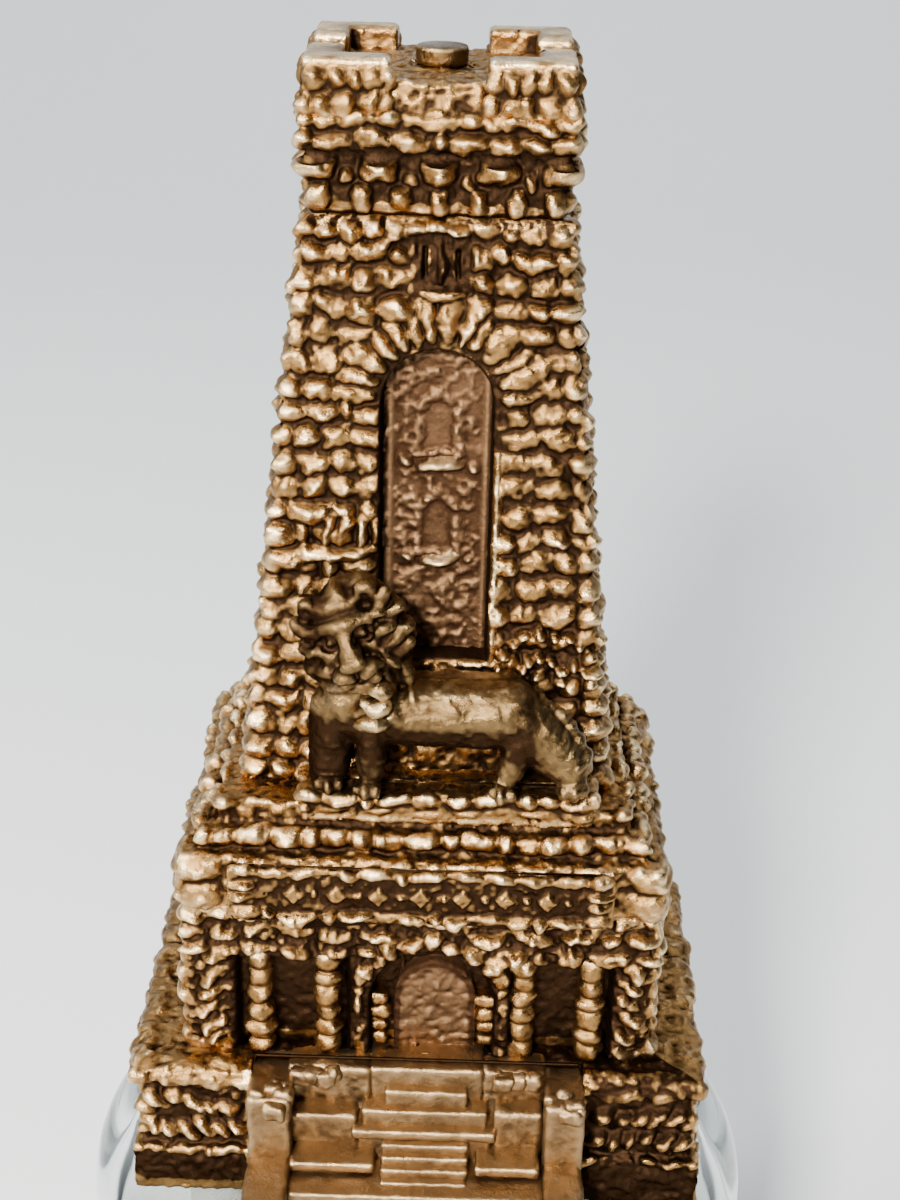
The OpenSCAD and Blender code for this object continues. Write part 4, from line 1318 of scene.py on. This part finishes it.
def carve_lion(points):
    """How far each point of the lion moves out: mane grooves, eyes, mouth and worn skin."""
    x, y, z = points.T
    c, s = math.cos(HEAD_TILT), math.sin(HEAD_TILT)
    u = c * (x - HEAD[0]) + s * (z - HEAD[2])
    w = c * (z - HEAD[2]) - s * (x - HEAD[0])
    round_face = np.hypot(u, w / 1.3)
    skin = smoothstep(2.2, 1.8, round_face) * smoothstep(-1.0, -1.4, y)
    mane = smoothstep(-0.2, -1.0, x) * smoothstep(5.6, 7.0, z) * smoothstep(2.0, 2.5, round_face)
    mane = mane * smoothstep(0.9, 0.2, y)
    locks = np.sin(11 * np.arctan2(w, u) + 2.2 * space_noise(points, 1.6, 1210) + 1.3 * round_face)
    shift = 0.2 * mane * locks
    ear = bell(np.hypot(np.abs(u) - 2.0, w - 2.45), 0.36) * (y < -1.3)
    socket = bell(np.hypot(np.abs(u) - 1.15, w - 0.15) - 0.52, 0.16) * (y < -1.3)
    mouth = bell(w + 2.62 - 0.1 * u * u, 0.14) * (np.abs(u) < 1.3) * (y < -2.2)
    lip = bell(u, 0.12) * smoothstep(-1.7, -1.9, w) * smoothstep(-2.7, -2.5, w) * (y < -2.6)
    shift -= 0.3 * ear + 0.26 * socket + 0.34 * mouth + 0.2 * lip
    toes = np.sin(x * 7.5) * smoothstep(1.4, 0.8, z) * (y < -1.6)
    shift += 0.1 * toes
    tail = np.sin((x - z) * 4.0) * smoothstep(8.6, 9.4, x + 0.4 * (z - 5)) * smoothstep(6.5, 5.5, z)
    shift += 0.08 * tail
    worn = space_noise(points, 0.45, 1220) * 0.07 + space_noise(points, 1.3, 1221) * 0.17
    return shift + worn * (1 - 0.6 * skin)


# ---------------------------------------------------------------- stand


def make_stand():
    """Clear drum with a rounded shoulder, hollow underneath, and a slot for the blade."""
    high = box_mm("display_stand")[1]
    radius, height = high[0], high[2]
    wall, cover, shoulder, inner_r = 2.4, 3.6, 3.0, 1.2
    outline = [(radius - wall, 0.5), (radius - wall + 0.5, 0.0), (radius - 0.5, 0.0), (radius, 0.5)]
    for angle in np.linspace(0, math.pi / 2, 14):
        outline.append((radius - shoulder + shoulder * math.cos(angle),
                        height - shoulder + shoulder * math.sin(angle)))
    outside = [(0.4, height)]
    inside = [(0.4, height - cover)]
    for angle in np.linspace(math.pi / 2, 0, 8):
        inside.append((radius - wall - inner_r + inner_r * math.cos(angle),
                       height - cover - inner_r + inner_r * math.sin(angle)))
    ring = np.array(inside + outline + outside)
    grid = turned_rings(*ring.T, 180)
    stand = closed_tube("clear_drum", grid, (0, 0, height - cover), (0, 0, height))
    blade_low, blade_high = box_mm("opener_blade")
    gap = 0.45
    cutter = soft_box("slot_cutter", (blade_low[0] - gap, blade_low[1] - gap, height - cover - 3),
                      (blade_high[0] + gap, blade_high[1] + gap, height + 3), 0.6, 0.0, 1, 0.6)
    cut = stand.modifiers.new("slot", "BOOLEAN")
    cut.operation, cut.object, cut.solver = "DIFFERENCE", cutter, "EXACT"
    select(stand)
    bpy.ops.object.modifier_apply(modifier="slot")
    bpy.data.objects.remove(cutter)
    stand.data.polygons.foreach_set("use_smooth", np.ones(len(stand.data.polygons), bool))
    bpy.ops.object.shade_auto_smooth(angle=math.radians(40))
    for modifier in list(stand.modifiers):
        bpy.ops.object.modifier_apply(modifier=modifier.name)
    paint(stand, clear)
    place(stand, "stand", "clear_stand", "display_stand")


# ---------------------------------------------------------------- stage


def make_stage():
    """Pale floor that sweeps up into a backdrop, and again far behind the camera."""
    floor_z, width, front, depth, radius, height = -0.0002, 4.5, -1.9, 0.9, 0.5, 1.4
    half = []
    for angle in np.linspace(0, math.pi / 2, 16):
        half.append((radius * math.sin(angle), floor_z + radius * (1 - math.cos(angle))))
    half.append((radius, height))
    profile = [(front + radius - run, z) for run, z in reversed(half)]
    profile += [(depth - radius + run, z) for run, z in half]
    points, faces = [], []
    for x in (-width, width):
        points += [(x / MM, y / MM, z / MM) for y, z in profile]
    count = len(profile)
    for i in range(count - 1):
        faces.append([i, i + count, i + count + 1, i + 1])
    sweep = make_mesh("floor", points, [np.array(faces)])
    material, tree, shader = new_material("pale_paper")
    colour = mix_colour(tree, noise(tree, 30, 4), (0.72, 0.755, 0.78), (0.75, 0.775, 0.795))
    tree.links.new(colour, shader.inputs["Base Color"])
    shader.inputs["Roughness"].default_value = 0.75
    paint(sweep, material)


def area_light(name, place_m, aim_m, size, power, colour):
    """Rectangular lamp at a place and aimed at another, both in metres."""
    data = bpy.data.lights.new(name, "AREA")
    data.shape, data.size, data.size_y = "RECTANGLE", *size
    data.energy, data.color = power, colour
    lamp = bpy.data.objects.new(name, data)
    bpy.context.collection.objects.link(lamp)
    lamp.location = place_m
    lamp.rotation_euler = (Vector(aim_m) - Vector(place_m)).to_track_quat("-Z", "Y").to_euler()


def make_lights():
    """Small warm key and window, broad cool panel overhead, and a wash on the backdrop."""
    aim = (0, 0, 0.08)
    area_light("key", (-0.09, -0.33, 0.29), aim, (0.06, 0.06), 6.5, (1.0, 0.95, 0.87))
    area_light("window", (-0.34, -0.10, 0.32), aim, (0.12, 0.12), 2.4, (1.0, 0.96, 0.9))
    area_light("sky_panel", (-0.1, 0.12, 0.75), aim, (0.8, 0.5), 2.2, (0.93, 0.97, 1.0))
    area_light("backdrop_wash", (0.0, 0.25, 0.7), (0, 0.85, 0.1), (1.6, 0.3), 7.0, (0.94, 0.97, 1.0))
    world = bpy.data.worlds.new("soft_studio")
    bpy.context.scene.world = world
    world.use_nodes = True
    back = world.node_tree.nodes["Background"]
    back.inputs["Color"].default_value = (0.80, 0.84, 0.9, 1)
    back.inputs["Strength"].default_value = 0.03


def make_camera():
    """Close view from above the front, tipped and rolled as a hand-held phone would be."""
    pitch, yaw, roll = math.radians(25.71), math.radians(0.55), math.radians(1.44)
    spot = np.array([2.54, -122.18, 100.6]) + ORIGIN
    ahead = Vector((-math.sin(yaw) * math.cos(pitch), math.cos(yaw) * math.cos(pitch), -math.sin(pitch)))
    right = Vector((math.cos(yaw), math.sin(yaw), 0))
    down = ahead.cross(right)
    c, s = math.cos(roll), math.sin(roll)
    axes = Matrix((c * right - s * down, -(s * right + c * down), -ahead)).transposed()
    data = bpy.data.cameras.new("camera")
    data.lens, data.sensor_width = 57.0, 36.0
    data.clip_start = 0.005
    camera = bpy.data.objects.new("camera", data)
    bpy.context.collection.objects.link(camera)
    camera.matrix_world = Matrix.Translation(Vector(spot * MM)) @ axes.to_4x4()
    bpy.context.scene.camera = camera


make_camera()
make_lights()
make_stage()
make_tower()
make_window_panel()
make_parapet()
make_bolt()
make_ledges()
make_plaque()
make_storey()
make_plinth()
make_stairs()
make_lion()
make_stand()
for name in ("opener_blade", "blade_pins", "tie_washer", "tie_nut"):
    paint(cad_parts[name], steel)
paint(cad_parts["base_plate"], matte_gilt)
